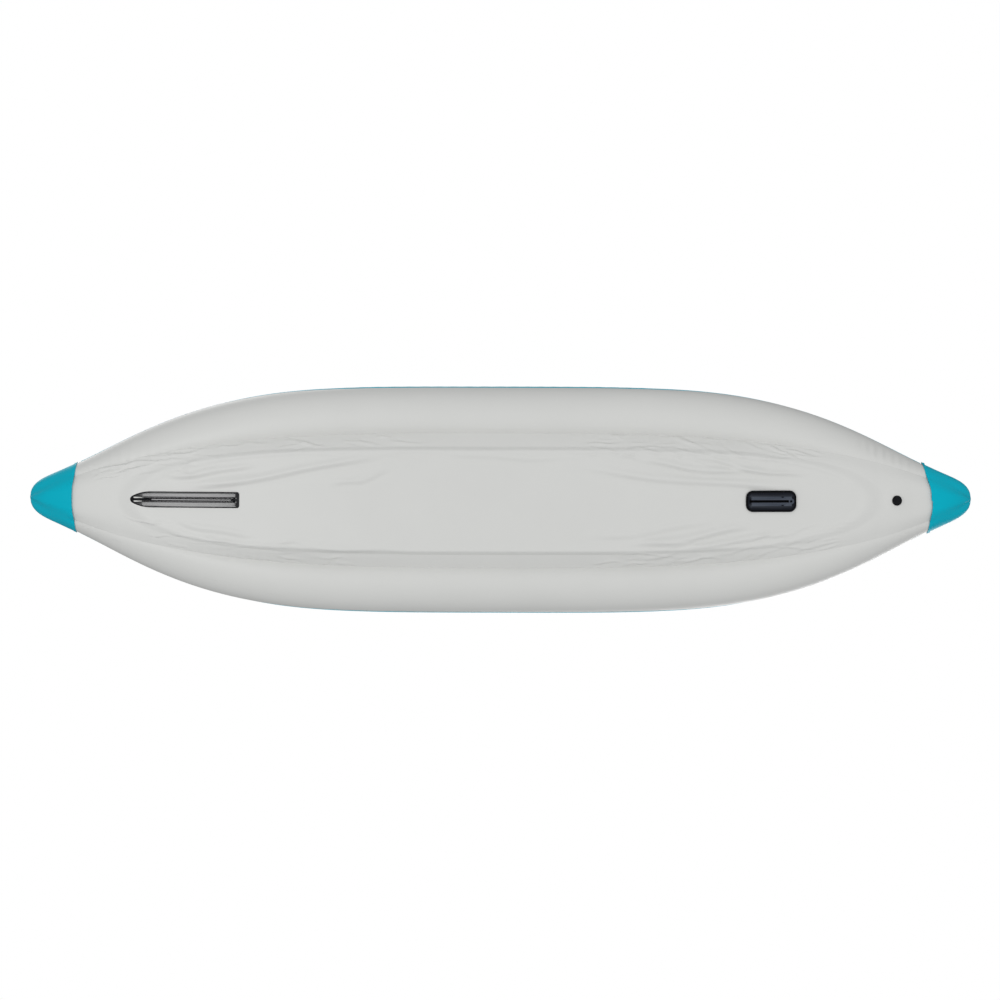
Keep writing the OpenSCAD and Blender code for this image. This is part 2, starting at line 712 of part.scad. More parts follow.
function over_deck(end, a, b, lift) = [for (u = [0:0.125:1])
  deck_point(end * mix(a[0], b[0], u), mix(a[1], b[1], u)) + [0, 0, lift]];

// The cord crosses between the loops, and runs across at each end
module bungee(end, edge) color("#15171a") {
  a = loop_places(edge)[0];
  b = loop_places(edge)[1];
  lift = deck_lift + 5;
  inboard = [-14, 0];
  outboard = [14, 0];
  runs = [
    [a, [b[0], -b[1]], lift],
    [[a[0], -a[1]], b, lift + 2 * cord_r + 1],
    [a + inboard, [a[0], -a[1]] + inboard, lift],
    [b + outboard, [b[0], -b[1]] + outboard, lift]];
  for (run = runs) sweep(over_deck(end, run[0], run[1], run[2]), ngon(cord_r, 8));
}

module bungee_loops(end, edge) color("#2b2f34")
  for (place = loop_places(edge), s = [-1, 1]) {
    p = deck_point(end * place[0], s * (place[1] + 0.07));
    out = s * 14;
    translate([p[0], p[1] + out, p[2] - 3 + deck_lift]) rotate([s * -12, 0, 0])
      translate([0, 0, 4]) difference() {
        round_plate(44, 26, 3, 8);
        translate([0, 0, -1]) cylinder(r = 3.2, h = 6);
      }
  }

// ---------------------------------------------------------------- zips

zip_half = 330;
zip_deg = 118;
zip_tape_half = 8;
zip_lift = 2;
teeth_w = 4.4;
tooth_h = 2.6;

module at_zip(side) translate([0, side * tube_point(0, zip_deg)[1], tube_point(0, zip_deg)[2]])
  rotate([side * (zip_deg - 90), 0, 0]) children();

// Tape and closed teeth of the zip that opens the side cover to reach the air chamber
module zip(side) color("#101214") at_zip(side) {
  translate([-zip_half, -zip_tape_half, zip_lift]) cube([2 * zip_half, 2 * zip_tape_half, 0.9]);
  translate([-zip_half, -teeth_w / 2, zip_lift + 0.5]) cube([2 * zip_half, teeth_w, tooth_h]);
}

slider_l = 18;
slider_w = 12;

// Slider with a groove that rides over the teeth, a bridge and a pull tab
module zip_slider(side) color("#8f9498") at_zip(side) translate([-zip_half + 30, 0, 0]) {
  difference() {
    translate([-slider_l / 2, -slider_w / 2, 3.2]) cube([slider_l, slider_w, 5]);
    translate([-slider_l / 2 - 1, -teeth_w / 2 - 0.4, zip_lift])
      cube([slider_l + 2, teeth_w + 0.8, tooth_h + 0.9]);
  }
  translate([-3, -1.2, 8]) cube([6, 2.4, 3]);
  translate([0, -3.5, 9.4]) cube([32, 7, 1.6]);
}

// ---------------------------------------------------------------- nodes

hull_bottom_skin();
side_cover(PORT);  // port_side_cover
side_cover(STARBOARD);  // starboard_side_cover
inner_liner(PORT);  // port_inner_liner
inner_liner(STARBOARD);  // starboard_inner_liner
deck(BOW, bow_deck_x);  // bow_deck
deck(STERN, stern_deck_x);  // stern_deck
cap(BOW);  // bow_cap
cap(STERN);  // stern_cap
air_chamber(PORT);  // port_air_chamber
air_chamber(STARBOARD);  // starboard_air_chamber
floor_chamber();
floor_mat();
bow_keel_strip();
fin_box();
drain_seat();
drain_plug();
drain_seal();
at_tube_valve(PORT) valve_body();  // port_valve_body
at_tube_valve(PORT) valve_stem();  // port_valve_stem
at_tube_valve(PORT) valve_spring();  // port_valve_spring
at_tube_valve(PORT) valve_cap();  // port_valve_cap
at_tube_valve(PORT) valve_cap_seal();  // port_valve_cap_seal
at_tube_valve(STARBOARD) valve_body();  // starboard_valve_body
at_tube_valve(STARBOARD) valve_stem();  // starboard_valve_stem
at_tube_valve(STARBOARD) valve_spring();  // starboard_valve_spring
at_tube_valve(STARBOARD) valve_cap();  // starboard_valve_cap
at_tube_valve(STARBOARD) valve_cap_seal();  // starboard_valve_cap_seal
at_floor_valve() valve_body();  // floor_valve_body
at_floor_valve() valve_stem();  // floor_valve_stem
at_floor_valve() valve_spring();  // floor_valve_spring
at_floor_valve() valve_cap();  // floor_valve_cap
at_floor_valve() valve_cap_seal();  // floor_valve_cap_seal
seat_cushion();
seat_backrest();
front_strap(PORT);  // port_front_strap
front_strap(STARBOARD);  // starboard_front_strap
rear_strap(PORT);  // port_rear_strap
rear_strap(STARBOARD);  // starboard_rear_strap
strap_buckles();
strap_d_rings();
d_ring_patches();
footrest();
footrest_strap();
handle_grip(BOW);  // bow_handle_grip
handle_webbing(BOW);  // bow_handle_webbing
handle_anchors(BOW);  // bow_handle_anchors
handle_grip(STERN);  // stern_handle_grip
handle_webbing(STERN);  // stern_handle_webbing
handle_anchors(STERN);  // stern_handle_anchors
bungee(BOW, bow_deck_x);  // bow_bungee
bungee_loops(BOW, bow_deck_x);  // bow_bungee_loops
bungee(STERN, stern_deck_x - 60);  // stern_bungee
bungee_loops(STERN, stern_deck_x - 60);  // stern_bungee_loops
zip(PORT);  // port_zip
zip(STARBOARD);  // starboard_zip
zip_slider(PORT);  // port_zip_slider
zip_slider(STARBOARD);  // starboard_zip_slider
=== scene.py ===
"""Looks of the inflatable kayak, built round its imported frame. Metres: +X bow, +Y port, +Z up."""

import json
import math

import bpy
import numpy as np
from mathutils import Matrix, Vector


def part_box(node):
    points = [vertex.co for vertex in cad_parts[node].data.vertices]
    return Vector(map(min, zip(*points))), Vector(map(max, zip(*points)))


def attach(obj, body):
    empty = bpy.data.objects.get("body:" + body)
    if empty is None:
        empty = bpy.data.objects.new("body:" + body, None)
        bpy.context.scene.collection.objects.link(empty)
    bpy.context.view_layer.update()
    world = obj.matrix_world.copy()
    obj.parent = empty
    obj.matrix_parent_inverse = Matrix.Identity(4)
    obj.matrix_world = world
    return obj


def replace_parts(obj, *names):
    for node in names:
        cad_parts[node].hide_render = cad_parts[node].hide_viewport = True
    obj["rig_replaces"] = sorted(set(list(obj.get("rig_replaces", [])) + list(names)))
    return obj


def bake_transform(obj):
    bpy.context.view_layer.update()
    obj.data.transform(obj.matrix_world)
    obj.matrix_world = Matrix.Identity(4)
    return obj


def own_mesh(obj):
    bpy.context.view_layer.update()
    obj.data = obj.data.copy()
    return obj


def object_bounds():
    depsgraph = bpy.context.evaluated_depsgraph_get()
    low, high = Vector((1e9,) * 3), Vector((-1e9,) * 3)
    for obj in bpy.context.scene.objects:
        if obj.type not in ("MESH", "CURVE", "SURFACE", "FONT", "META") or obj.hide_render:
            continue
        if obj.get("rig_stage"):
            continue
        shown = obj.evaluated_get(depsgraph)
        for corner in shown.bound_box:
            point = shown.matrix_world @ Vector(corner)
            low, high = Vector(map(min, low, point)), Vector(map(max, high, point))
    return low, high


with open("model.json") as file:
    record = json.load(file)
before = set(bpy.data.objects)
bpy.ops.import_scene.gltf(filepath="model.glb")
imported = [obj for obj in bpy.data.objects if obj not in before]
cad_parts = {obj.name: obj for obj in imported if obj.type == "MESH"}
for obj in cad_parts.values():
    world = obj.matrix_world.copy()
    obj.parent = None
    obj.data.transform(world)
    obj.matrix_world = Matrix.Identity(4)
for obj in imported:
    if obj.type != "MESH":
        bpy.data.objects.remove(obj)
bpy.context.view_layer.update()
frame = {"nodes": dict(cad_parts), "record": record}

PORT, STARBOARD = 1, -1
BOW, STERN = 1, -1
SIDES = (("port", PORT), ("starboard", STARBOARD))
ENDS = (("bow", BOW), ("stern", STERN))
VALVES = ("port", "starboard", "floor")

# ---------------------------------------------------------------- hull lines
# The same fair curves as the design, in metres, driven by the frame's own boxes.

HALF_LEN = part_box("bow_cap")[1].x
HALF_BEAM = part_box("port_side_cover")[1].y
CAP_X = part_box("hull_bottom_skin")[1].x
FLOOR_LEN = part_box("floor_chamber")[1].x
FLOOR_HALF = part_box("floor_chamber")[1].y
TUBE_R, TUBE_MID_Z, TUBE_SHRINK = 0.112, 0.138, 0.057
SHEER_RISE, ROCKER_RISE, FLAT_HALF = 0.175, 0.215, 0.5
NOSE_R, CREASE_HALF = 0.090, 0.240
MAIN_HALF = math.sqrt(HALF_BEAM**2 - NOSE_R**2)
FLOOR_GAP, FLOOR_T = 0.004, 0.092
RIM_DEG, SEAM_DROP = 78.0, 12.0
BOW_DECK_X, STERN_DECK_X, DECK_SCOOP = 0.640, 0.780, 0.110
SKIN_T = 0.0014


def along(x):
    """How far from the middle towards a tip, from 0 to 1."""
    return np.minimum(np.abs(x) / HALF_LEN, 1)


def end_round(x):
    """1 along the hull, falling steeply to 0 at the very tips."""
    return np.sqrt(1 - along(x) ** 30)


def rim_y(x):
    """Half the hull's width: the beam's taper, joined to the rounded nose."""
    t = along(x)
    wide = MAIN_HALF * (1 - t**4.1) ** 1.47
    return np.sqrt(wide**2 + NOSE_R**2 * (1 - t**26))


def tube_a(x):
    """The tube section's half width, at most half of the hull's own."""
    return (TUBE_R**-6 + (rim_y(x) / 2 + 1e-9) ** -6) ** (-1 / 6)


def tube_b(x):
    """The tube section's half height."""
    return (TUBE_R - TUBE_SHRINK * along(x) ** 6) * end_round(x)


def tube_y(x):
    """How far out the tube's middle lies."""
    return rim_y(x) - tube_a(x)


def tube_z(x):
    """How high the tube's middle lies: the sheer."""
    return TUBE_MID_Z + SHEER_RISE * along(x) ** 3


def keel_z(x):
    """How high the keel line lies: the rocker."""
    return ROCKER_RISE * (np.maximum(0, np.abs(x) - FLAT_HALF) / (HALF_LEN - FLAT_HALF)) ** 2


def keel_slope(x):
    rise = 2 * ROCKER_RISE * max(0, abs(x) - FLAT_HALF) / (HALF_LEN - FLAT_HALF) ** 2
    return math.copysign(rise, x)


def bottom_z(x):
    return tube_z(x) - (tube_z(x) - keel_z(x)) * end_round(x)


def floor_y(x):
    """Half the floor chamber's width: its oval outline."""
    return FLOOR_HALF * np.sqrt(np.maximum(0, 1 - (np.abs(x) / FLOOR_LEN) ** 4))


def crease_y(x):
    """How far out the seam between panel and tube lies."""
    return CREASE_HALF * (1 - along(x) ** 3.2) ** 0.85


def crease_deg(x):
    """The angle on the tube's section at which that seam lies."""
    share = (crease_y(x) - tube_y(x)) / np.maximum(tube_a(x), 1e-6)
    return -np.degrees(np.arccos(np.clip(share, -0.9, 0.9)))


def smooth_step(value, low, high):
    """0 below low and 1 above high, with a soft rise between."""
    t = np.clip((value - low) / (high - low), 0, 1)
    return t * t * (3 - 2 * t)


def window(value, low, high, soft):
    """1 between low and high, falling to 0 over soft on each side."""
    return smooth_step(value, low - soft, low + soft) * (1 - smooth_step(value, high - soft, high + soft))


def swell(distance, width, power=2):
    """1 in the middle, falling smoothly to 0 beyond a distance of about width."""
    return np.exp(-np.abs(distance / width) ** power)


def unit(vectors):
    """The same directions, at a length of 1."""
    return vectors / np.linalg.norm(vectors, axis=-1, keepdims=True)


def full_turn(count):
    """Angles once round a circle."""
    return np.arange(count) * 2 * np.pi / count


def squared(wave, power):
    """A sine or cosine pushed towards -1 and 1, which squares the corners of what it draws."""
    return np.sign(wave) * np.abs(wave) ** power


def superellipse(count, power, length, width):
    """The x and y of an outline between an oval (power 1) and a rectangle (power 0)."""
    angle = full_turn(count)
    return squared(np.cos(angle), power) * length / 2, squared(np.sin(angle), power) * width / 2


def seam_deg(x):
    """Where grey meets turquoise: below the widest line amidships, and above it towards the tips."""
    return -SEAM_DROP + (SEAM_DROP + 9) * smooth_step(along(x), 0.28, 0.62)


def tube_point(x, deg, inset=0.0):
    """A point on a side tube's section: 0 degrees is outboard and 90 is the top."""
    angle = np.radians(deg)
    y = tube_y(x) + (tube_a(x) - inset) * np.cos(angle)
    z = tube_z(x) + (tube_b(x) - inset) * np.sin(angle)
    return np.stack(np.broadcast_arrays(x, y, z), -1)


def panel_point(x, share, inset=0.0):
    """A point on the bottom panel, from the centreline (share 0) to the crease (share 1)."""
    crease = crease_y(x)
    flat = 0.9 * floor_y(x)
    base = bottom_z(x)
    rise = tube_z(x) + tube_b(x) * np.sin(np.radians(crease_deg(x))) - base
    power = 1.35 + 2.65 * (1 - floor_y(x) / FLOOR_HALF)
    y = share * crease
    up = np.maximum(0, (y - flat) / np.maximum(crease - flat, 1e-6)) ** power
    return np.stack(np.broadcast_arrays(x, y, base + rise * up + inset), -1)


def deck_point(x, v, inset=0.0):
    """A point on a deck, from the starboard rim (v -1) to the port rim (v 1)."""
    rim = tube_point(x, RIM_DEG)
    crown = 0.12 * rim[..., 1] * end_round(x)
    z = rim[..., 2] + crown * (1 - v * v) - inset
    return np.stack(np.broadcast_arrays(x, v * rim[..., 1], z), -1)


def stations(start, end, steps):
    """Places along the hull, closer together towards the two ends."""
    u = np.linspace(-1, 1, steps + 1)
    return start + (end - start) * (0.5 * u + 0.5 * np.sin(np.pi / 2 * u) + 1) / 2


# ---------------------------------------------------------------- materials


class Nodes:
    """A node tree, and short ways to add and join its nodes."""

    def __init__(self, owner):
        owner.use_nodes = True
        self.tree = owner.node_tree

    def node(self, kind, **settings):
        """A new node, with values for its inputs by name and for its own settings."""
        made = self.tree.nodes.new(kind)
        for key, value in settings.items():
            if key in made.inputs:
                made.inputs[key].default_value = value
            else:
                setattr(made, key, value)
        return made

    def link(self, source, target):
        """Feeds an input from another node's output, or gives it a plain value."""
        if isinstance(source, bpy.types.NodeSocket):
            self.tree.links.new(source, target)
        else:
            target.default_value = source

    def mix_shader(self, factor, first, second):
        """A blend of two surfaces, or of two skies."""
        made = self.node("ShaderNodeMixShader")
        for socket, source in zip(made.inputs, (factor, first, second)):
            self.link(source, socket)
        return made.outputs[0]


class Shader(Nodes):
    """A node material, built up in layers."""

    def __init__(self, name, color, rough, metallic=0.0, sheen=0.0, coat=0.0):
        self.material = bpy.data.materials.new(name)
        super().__init__(self.material)
        self.material.diffuse_color = (*color, 1)
        self.bsdf = self.tree.nodes["Principled BSDF"]
        self.bsdf.inputs["Base Color"].default_value = (*color, 1)
        self.bsdf.inputs["Roughness"].default_value = rough
        self.bsdf.inputs["Metallic"].default_value = metallic
        self.bsdf.inputs["Sheen Weight"].default_value = sheen
        self.bsdf.inputs["Coat Weight"].default_value = coat
        self.color = color
        self.rough = rough
        self.coords = self.node("ShaderNodeTexCoord")
        self.place = self.coords.outputs["Object"]

    def noise(self, scale, detail=3.0, rough=0.5):
        made = self.node("ShaderNodeTexNoise", Scale=scale, Detail=detail, Roughness=rough)
        self.link(self.place, made.inputs["Vector"])
        return made.outputs["Fac"]

    def bands(self, pitch, direction, source=None):
        """Ridges a distance of pitch apart, along one axis of the chosen coordinates."""
        made = self.node("ShaderNodeTexWave", Scale=math.pi / (10 * pitch), bands_direction=direction)
        self.link(source or self.place, made.inputs["Vector"])
        return made.outputs["Fac"]

    def math(self, operation, a, b):
        made = self.node("ShaderNodeMath", operation=operation)
        self.link(a, made.inputs[0])
        self.link(b, made.inputs[1])
        return made.outputs[0]

    def mix(self, factor, first, second, **settings):
        """A blend of two colours."""
        made = self.node("ShaderNodeMix", data_type="RGBA", **settings)
        for index, source in ((0, factor), (6, first), (7, second)):
            self.link(source, made.inputs[index])
        return made.outputs[2]

    def weave(self, pitch):
        """Ridges along all three axes."""
        x, y, z = (self.bands(pitch, axis) for axis in "XYZ")
        return self.math("MAXIMUM", x, self.math("MAXIMUM", y, z))

    def tint(self, factor, dark, light):
        """Colours the surface between two shades by a factor from 0 to 1."""
        self.link(self.mix(factor, (*dark, 1), (*light, 1)), self.bsdf.inputs["Base Color"])

    def mottle(self, scale, amount):
        """Gentle colour and gloss variation round the base colour."""
        factor = self.noise(scale, 4.0, 0.6)
        self.tint(factor, shade(self.color, 1 - amount), shade(self.color, 1 + amount))
        span = self.node("ShaderNodeMapRange", **{"To Min": self.rough - 0.06, "To Max": self.rough + 0.06})
        self.link(factor, span.inputs["Value"])
        self.link(span.outputs[0], self.bsdf.inputs["Roughness"])

    def wear(self, light, amount=0.35):
        """Paler, rubbed edges, where the surface turns sharply outwards."""
        edges = self.node("ShaderNodeNewGeometry").outputs["Pointiness"]
        span = self.node("ShaderNodeMapRange", **{"From Min": 0.54, "From Max": 0.62, "To Max": amount})
        self.link(edges, span.inputs["Value"])
        color = self.bsdf.inputs["Base Color"]
        self.link(self.mix(span.outputs[0], color.links[0].from_socket, (*light, 1)), color)

    def bump(self, height, distance, strength=1.0):
        """Relief too fine to model, laid over any that is there already."""
        made = self.node("ShaderNodeBump", Strength=strength, Distance=distance)
        self.link(height, made.inputs["Height"])
        target = self.bsdf.inputs["Normal"]
        if target.links:
            self.link(target.links[0].from_socket, made.inputs["Normal"])
        self.link(made.outputs["Normal"], target)


def shade(color, factor):
    """A colour made darker or lighter."""
    return tuple(min(1.0, max(0.0, c * factor)) for c in color)


def srgb(red, green, blue):
    """A colour given as it looks on a screen, in the renderer's linear terms."""
    return tuple((c / 255) ** 2.2 for c in (red, green, blue))


def coated_fabric(name, color, rough=0.5, mottle=0.03, gloss=0.35):
    """PVC coated polyester: matte, with the scrim just showing through the coat."""
    made = Shader(name, color, rough)
    made.bsdf.inputs["Specular IOR Level"].default_value = gloss
    made.mottle(5.0, mottle)
    made.bump(made.weave(0.0014), 0.00006, 0.5)
    made.bump(made.noise(60.0, 4.0), 0.0006, 0.35)
    return made.material


def woven_fabric(name, color):
    """Coarse woven polyester, as on padded seats."""
    made = Shader(name, color, 0.82, sheen=0.35)
    made.mottle(14.0, 0.16)
    made.bump(made.weave(0.0026), 0.0005, 0.7)
    made.bump(made.noise(220.0, 2.0), 0.0003, 0.4)
    return made.material


def webbing(name, color):
    """Nylon webbing: ribs across it, and finer ridges along it. It reads the UV map."""
    made = Shader(name, color, 0.7, sheen=0.25)
    uv = made.coords.outputs["UV"]
    ribs = made.bands(0.0022, "X", uv)
    # Painted shade in the grooves between the ribs and a painted highlight on the ribs, from the same wave
    # as their bump
    made.tint(ribs, shade(color, 0.75), shade(color, 1.5))
    made.bump(ribs, 0.0004, 0.7)
    made.bump(made.bands(0.0016, "Y", uv), 0.0002, 0.5)
    return made.material


def moulded(name, color, rough, coat=0.0, wear=0.35):
    """Injection-moulded plastic: fine spark texture, gloss changes and rubbed edges."""
    made = Shader(name, color, rough, coat=coat)
    made.mottle(40.0, 0.12)
    made.wear(shade(color, 3.2), wear)
    made.bump(made.noise(900.0, 2.0), 0.00012, 0.5)
    return made.material


def metal(name, color, rough):
    made = Shader(name, color, rough, metallic=1.0)
    made.mottle(90.0, 0.08)
    made.bump(made.noise(400.0, 3.0), 0.00008, 0.5)
    return made.material


def rubber(name, color, pitch=0.0):
    made = Shader(name, color, 0.75)
    made.mottle(30.0, 0.12)
    made.bump(made.noise(500.0, 3.0), 0.0002, 0.6)
    if pitch:
        made.bump(made.bands(pitch, "Y"), 0.0008, 0.8)
    return made.material


def braided(name, color):
    """Elastic cord in a braided sleeve, its strands lit paler by a painted highlight and the gaps between
    them darkened by painted shade. It reads the UV map.
    """
    made = Shader(name, color, 0.6, sheen=0.3)
    uv = made.coords.outputs["UV"]
    plait = made.node("ShaderNodeMapping", Rotation=(0, 0, math.radians(45)))
    made.link(uv, plait.inputs["Vector"])
    strands = made.math("MAXIMUM", *(made.bands(0.0022, axis, plait.outputs[0]) for axis in "XY"))
    # Painted highlight on the strands and painted shade in the gaps, from the same pattern as their bump
    made.tint(strands, shade(color, 0.6), shade(color, 2.4))
    made.bump(strands, 0.0005, 0.8)
    return made.material


# The fin box's place, its foot's height over the hull, and the heights at which its painted shade and
# highlight change
FIN_X, FIN_OFF = -0.956, 0.0016
FIN_PAINT_STEPS = (0.0, 0.0042, 0.0060, 0.0110, 0.0119)


def fin_box_painted_light():
    """Moulded plastic with light and shade painted by height over the hull: painted near-black shade on the
    flange and the slot's floor, navy on the step, and a painted highlight on the paler rail tops.
    """
    made = Shader("fin_box_painted_light", srgb(20, 24, 34), 0.34)
    out = Vector((keel_slope(FIN_X), 0, -1)).normalized()
    base = Vector((FIN_X, 0, bottom_z(FIN_X))) + out * FIN_OFF
    height = made.node("ShaderNodeVectorMath", operation="DOT_PRODUCT")
    made.link(made.place, height.inputs[0])
    height.inputs[1].default_value = out
    above = made.math("SUBTRACT", height.outputs["Value"], float(out @ base))
    share = made.math("DIVIDE", above, FIN_PAINT_STEPS[-1] * 1.01)
    # Colours by height: painted shade near black on the flange and the slot's floor, navy on the step, a
    # painted highlight on the rail tops
    ramp = made.node("ShaderNodeValToRGB")
    shades = (srgb(14, 14, 17), srgb(16, 17, 21), srgb(26, 31, 43), srgb(30, 36, 48), srgb(60, 68, 82))
    stops = ramp.color_ramp.elements
    for place, color in zip(FIN_PAINT_STEPS[1:-1], shades[1:-1]):
        stops.new(place / FIN_PAINT_STEPS[-1]).color = (*color, 1)
    stops[0].color = (*shades[0], 1)
    stops[len(stops) - 1].color = (*shades[-1], 1)
    made.link(share, ramp.inputs[0])
    grain = made.noise(60.0, 4.0, 0.6)
    speckled = made.mix(0.35, ramp.outputs[0], grain, blend_type="MULTIPLY")
    made.link(speckled, made.bsdf.inputs["Base Color"])
    made.link(made.math("MULTIPLY", share, 0.5), made.bsdf.inputs["Specular IOR Level"])
    made.wear(srgb(110, 116, 126), 0.3)
    made.bump(made.noise(900.0, 2.0), 0.00012, 0.5)
    return made.material


GREY = srgb(212, 212, 209)
TURQUOISE = srgb(0, 172, 194)
CHARCOAL = srgb(60, 65, 71)

materials = {
    "hull_grey": coated_fabric("coated_grey", GREY, 0.48, 0.02),
    "cover_turquoise": coated_fabric("coated_turquoise", TURQUOISE, 0.5, 0.05, 0.10),
    "liner_charcoal": coated_fabric("coated_charcoal", CHARCOAL, 0.55, 0.08),
    "chamber_film": coated_fabric("bladder_grey", srgb(141, 146, 150), 0.4, 0.05),
    "floor_grey": coated_fabric("floor_grey", srgb(112, 118, 123), 0.5, 0.06),
    "mat_black": rubber("foam_mat", srgb(48, 52, 57)),
    "moulded_black": moulded("moulded_black", srgb(22, 23, 26), 0.17, coat=0.8, wear=0.2),
    "moulded_navy": moulded("moulded_navy", srgb(30, 36, 50), 0.30, coat=0.25, wear=0.25),
    "valve_dark": moulded("valve_dark", srgb(46, 51, 56), 0.4),
    "valve_white": moulded("valve_white", srgb(206, 209, 210), 0.35, wear=0.1),
    "spring_steel": metal("spring_steel", srgb(184, 188, 192), 0.3),
    "seal_rubber": rubber("seal_rubber", srgb(62, 62, 62)),
    "seat_fabric": woven_fabric("seat_weave", srgb(62, 68, 75)),
    "webbing_black": webbing("webbing", srgb(34, 36, 40)),
    "ring_steel": metal("ring_steel", srgb(205, 208, 212), 0.18),
    "patch_charcoal": rubber("welded_patch", srgb(50, 54, 60)),
    "cord_black": braided("elastic_cord", srgb(26, 28, 31)),
    "zip_black": webbing("zip_tape", srgb(24, 26, 29)),
    "slider_metal": metal("cast_slider", srgb(150, 154, 158), 0.35),
    "grip_rubber": rubber("ribbed_grip", srgb(30, 32, 36), 0.006),
}

# ---------------------------------------------------------------- mesh builders


def make_piece(name, verts, faces, slot, body="hull", stands_for=(), uv=None, sharp=40):
    """A mesh piece that rides on a body, with a finish from one of the record's slots."""
    mesh = bpy.data.meshes.new(name)
    mesh.from_pydata([tuple(map(float, v)) for v in verts], [], [tuple(map(int, f)) for f in faces])
    mesh.update()
    if uv is not None:
        layer = mesh.uv_layers.new(name="flat")
        loops = np.zeros(len(mesh.loops), np.int32)
        mesh.loops.foreach_get("vertex_index", loops)
        layer.data.foreach_set("uv", np.asarray(uv, np.float32)[loops].ravel())
    piece = bpy.data.objects.new(name, mesh)
    bpy.context.scene.collection.objects.link(piece)
    finish_piece(piece, slot, body, stands_for, sharp)
    return piece


def finish_piece(piece, slot, body="hull", stands_for=(), sharp=40):
    """Gives a piece its slot's material, its body and the CAD nodes that it stands for."""
    piece.data.materials.clear()
    piece.data.materials.append(materials[slot])
    piece.data.polygons.foreach_set("use_smooth", [True] * len(piece.data.polygons))
    piece.data.set_sharp_from_angle(angle=math.radians(sharp))
    if body:
        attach(piece, body)
    if stands_for:
        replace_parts(piece, *stands_for)


def grid_faces(rows, cols, wrap=False, flip=False, start=0):
    faces = []
    span = cols if wrap else cols - 1
    for i in range(rows - 1):
        for j in range(span):
            k = (j + 1) % cols
            quad = (i * cols + j, i * cols + k, (i + 1) * cols + k, (i + 1) * cols + j)
            faces.append(tuple(start + v for v in (quad[::-1] if flip else quad)))
    return faces


def grid_edge(rows, cols):
    """Indices round the edge of a grid, in order."""
    right = [i * cols + cols - 1 for i in range(1, rows)]
    top = [(rows - 1) * cols + j for j in range(cols - 2, -1, -1)]
    left = [i * cols for i in range(rows - 2, 0, -1)]
    return [*range(cols), *right, *top, *left]


def hoop_faces(rows, cols):
    """Faces of rings of points, the last of which joins the first."""
    last = (rows - 1) * cols
    closing = [(last + j, last + (j + 1) % cols, (j + 1) % cols, j) for j in range(cols)]
    return grid_faces(rows, cols, wrap=True) + closing


def grid_normals(points, outward):
    """Unit normals of a grid of points, turned to the side that outward points to."""
    du = np.gradient(points, axis=0)
    dv = np.gradient(points, axis=1)
    normal = np.cross(du, dv)
    normal /= np.maximum(np.linalg.norm(normal, axis=-1, keepdims=True), 1e-12)
    sign = np.sign((normal * outward).sum(-1).mean())
    return normal * (sign if sign else 1)


def make_sheet(name, points, outward, slot, thickness=SKIN_T, **more):
    """A closed sheet of fabric whose outer face is the grid of points."""
    rows, cols = points.shape[:2]
    inner = points - grid_normals(points, outward) * thickness
    facing = np.cross(np.gradient(points, axis=0), np.gradient(points, axis=1)) * outward
    flip = facing.sum(-1).mean() > 0
    count = rows * cols
    faces = grid_faces(rows, cols, flip=flip) + grid_faces(rows, cols, flip=not flip, start=count)
    edge = grid_edge(rows, cols)
    for a, b in zip(edge, edge[1:] + edge[:1]):
        quad = (a, b, b + count, a + count)
        faces.append(quad if flip else quad[::-1])
    verts = np.concatenate([points.reshape(-1, 3), inner.reshape(-1, 3)])
    return make_piece(name, verts, faces, slot, **more)


def make_loft(name, rings, slot, start=None, end=None, **more):
    """A closed body through rings of points, its ends drawn to their middles."""
    rings = np.asarray(rings)
    rows, cols = rings.shape[:2]
    tips = [rings[0].mean(0) if start is None else start, rings[-1].mean(0) if end is None else end]
    verts = np.concatenate([rings.reshape(-1, 3), np.array(tips)])
    faces = grid_faces(rows, cols, wrap=True)
    last = (rows - 1) * cols
    for j in range(cols):
        k = (j + 1) % cols
        faces.append((rows * cols, k, j))
        faces.append((rows * cols + 1, last + j, last + k))
    middle = rings.mean(1)
    axis = middle[-1] - middle[0]
    turn = np.cross(rings[0] - middle[0], np.roll(rings[0], -1, 0) - middle[0]).sum(0)
    if (turn @ axis) < 0:
        faces = [face[::-1] for face in faces]
    return make_piece(name, verts, faces, slot, **more)


def distances(path):
    """How far along a path each of its points lies."""
    return np.concatenate([[0], np.cumsum(np.linalg.norm(np.diff(path, axis=0), axis=1))])


def sweep_rings(path, profile, up, closed, fullness):
    """Rings of a flat profile (side, up) carried along a path, and their UV in metres."""
    path = np.asarray(path, float)
    if closed:
        ahead, behind = np.roll(path, -1, 0), np.roll(path, 1, 0)
    else:
        ahead = np.concatenate([path[1:], path[-1:]])
        behind = np.concatenate([path[:1], path[:-1]])
    direction = unit(ahead - behind)
    side = unit(np.cross(direction, np.broadcast_to(np.asarray(up, float), path.shape)))
    normal = np.cross(side, direction)
    profile = np.asarray(profile, float)
    spread = side[:, None] * profile[None, :, :1] + normal[:, None] * profile[None, :, 1:]
    rings = path[:, None] + spread * np.reshape(fullness, (-1, 1, 1))
    uv = np.stack(np.meshgrid(distances(path), distances(profile), indexing="ij"), -1)
    return rings, uv


def make_sweep(name, path, profile, up, slot, closed=False, fullness=1.0, **more):
    """A closed body of one flat profile carried along a path, at a fullness for each point."""
    rings, uv = sweep_rings(path, profile, up, closed, fullness)
    rows, cols = rings.shape[:2]
    if not closed:
        uv = np.concatenate([uv.reshape(-1, 2), uv[[0, -1], 0]])
        return make_loft(name, rings, slot, uv=uv, **more)
    faces = hoop_faces(rows, cols)
    return make_piece(name, rings.reshape(-1, 3), faces, slot, uv=uv.reshape(-1, 2), **more)


def round_profile(radius, sides=12):
    angle = full_turn(sides)
    return np.stack([radius * np.cos(angle), radius * np.sin(angle)], -1)


def strap_profile(width, thickness, sides=20):
    """A flat section with rounded edges."""
    return np.stack(superellipse(sides, 0.35, width, thickness), -1)


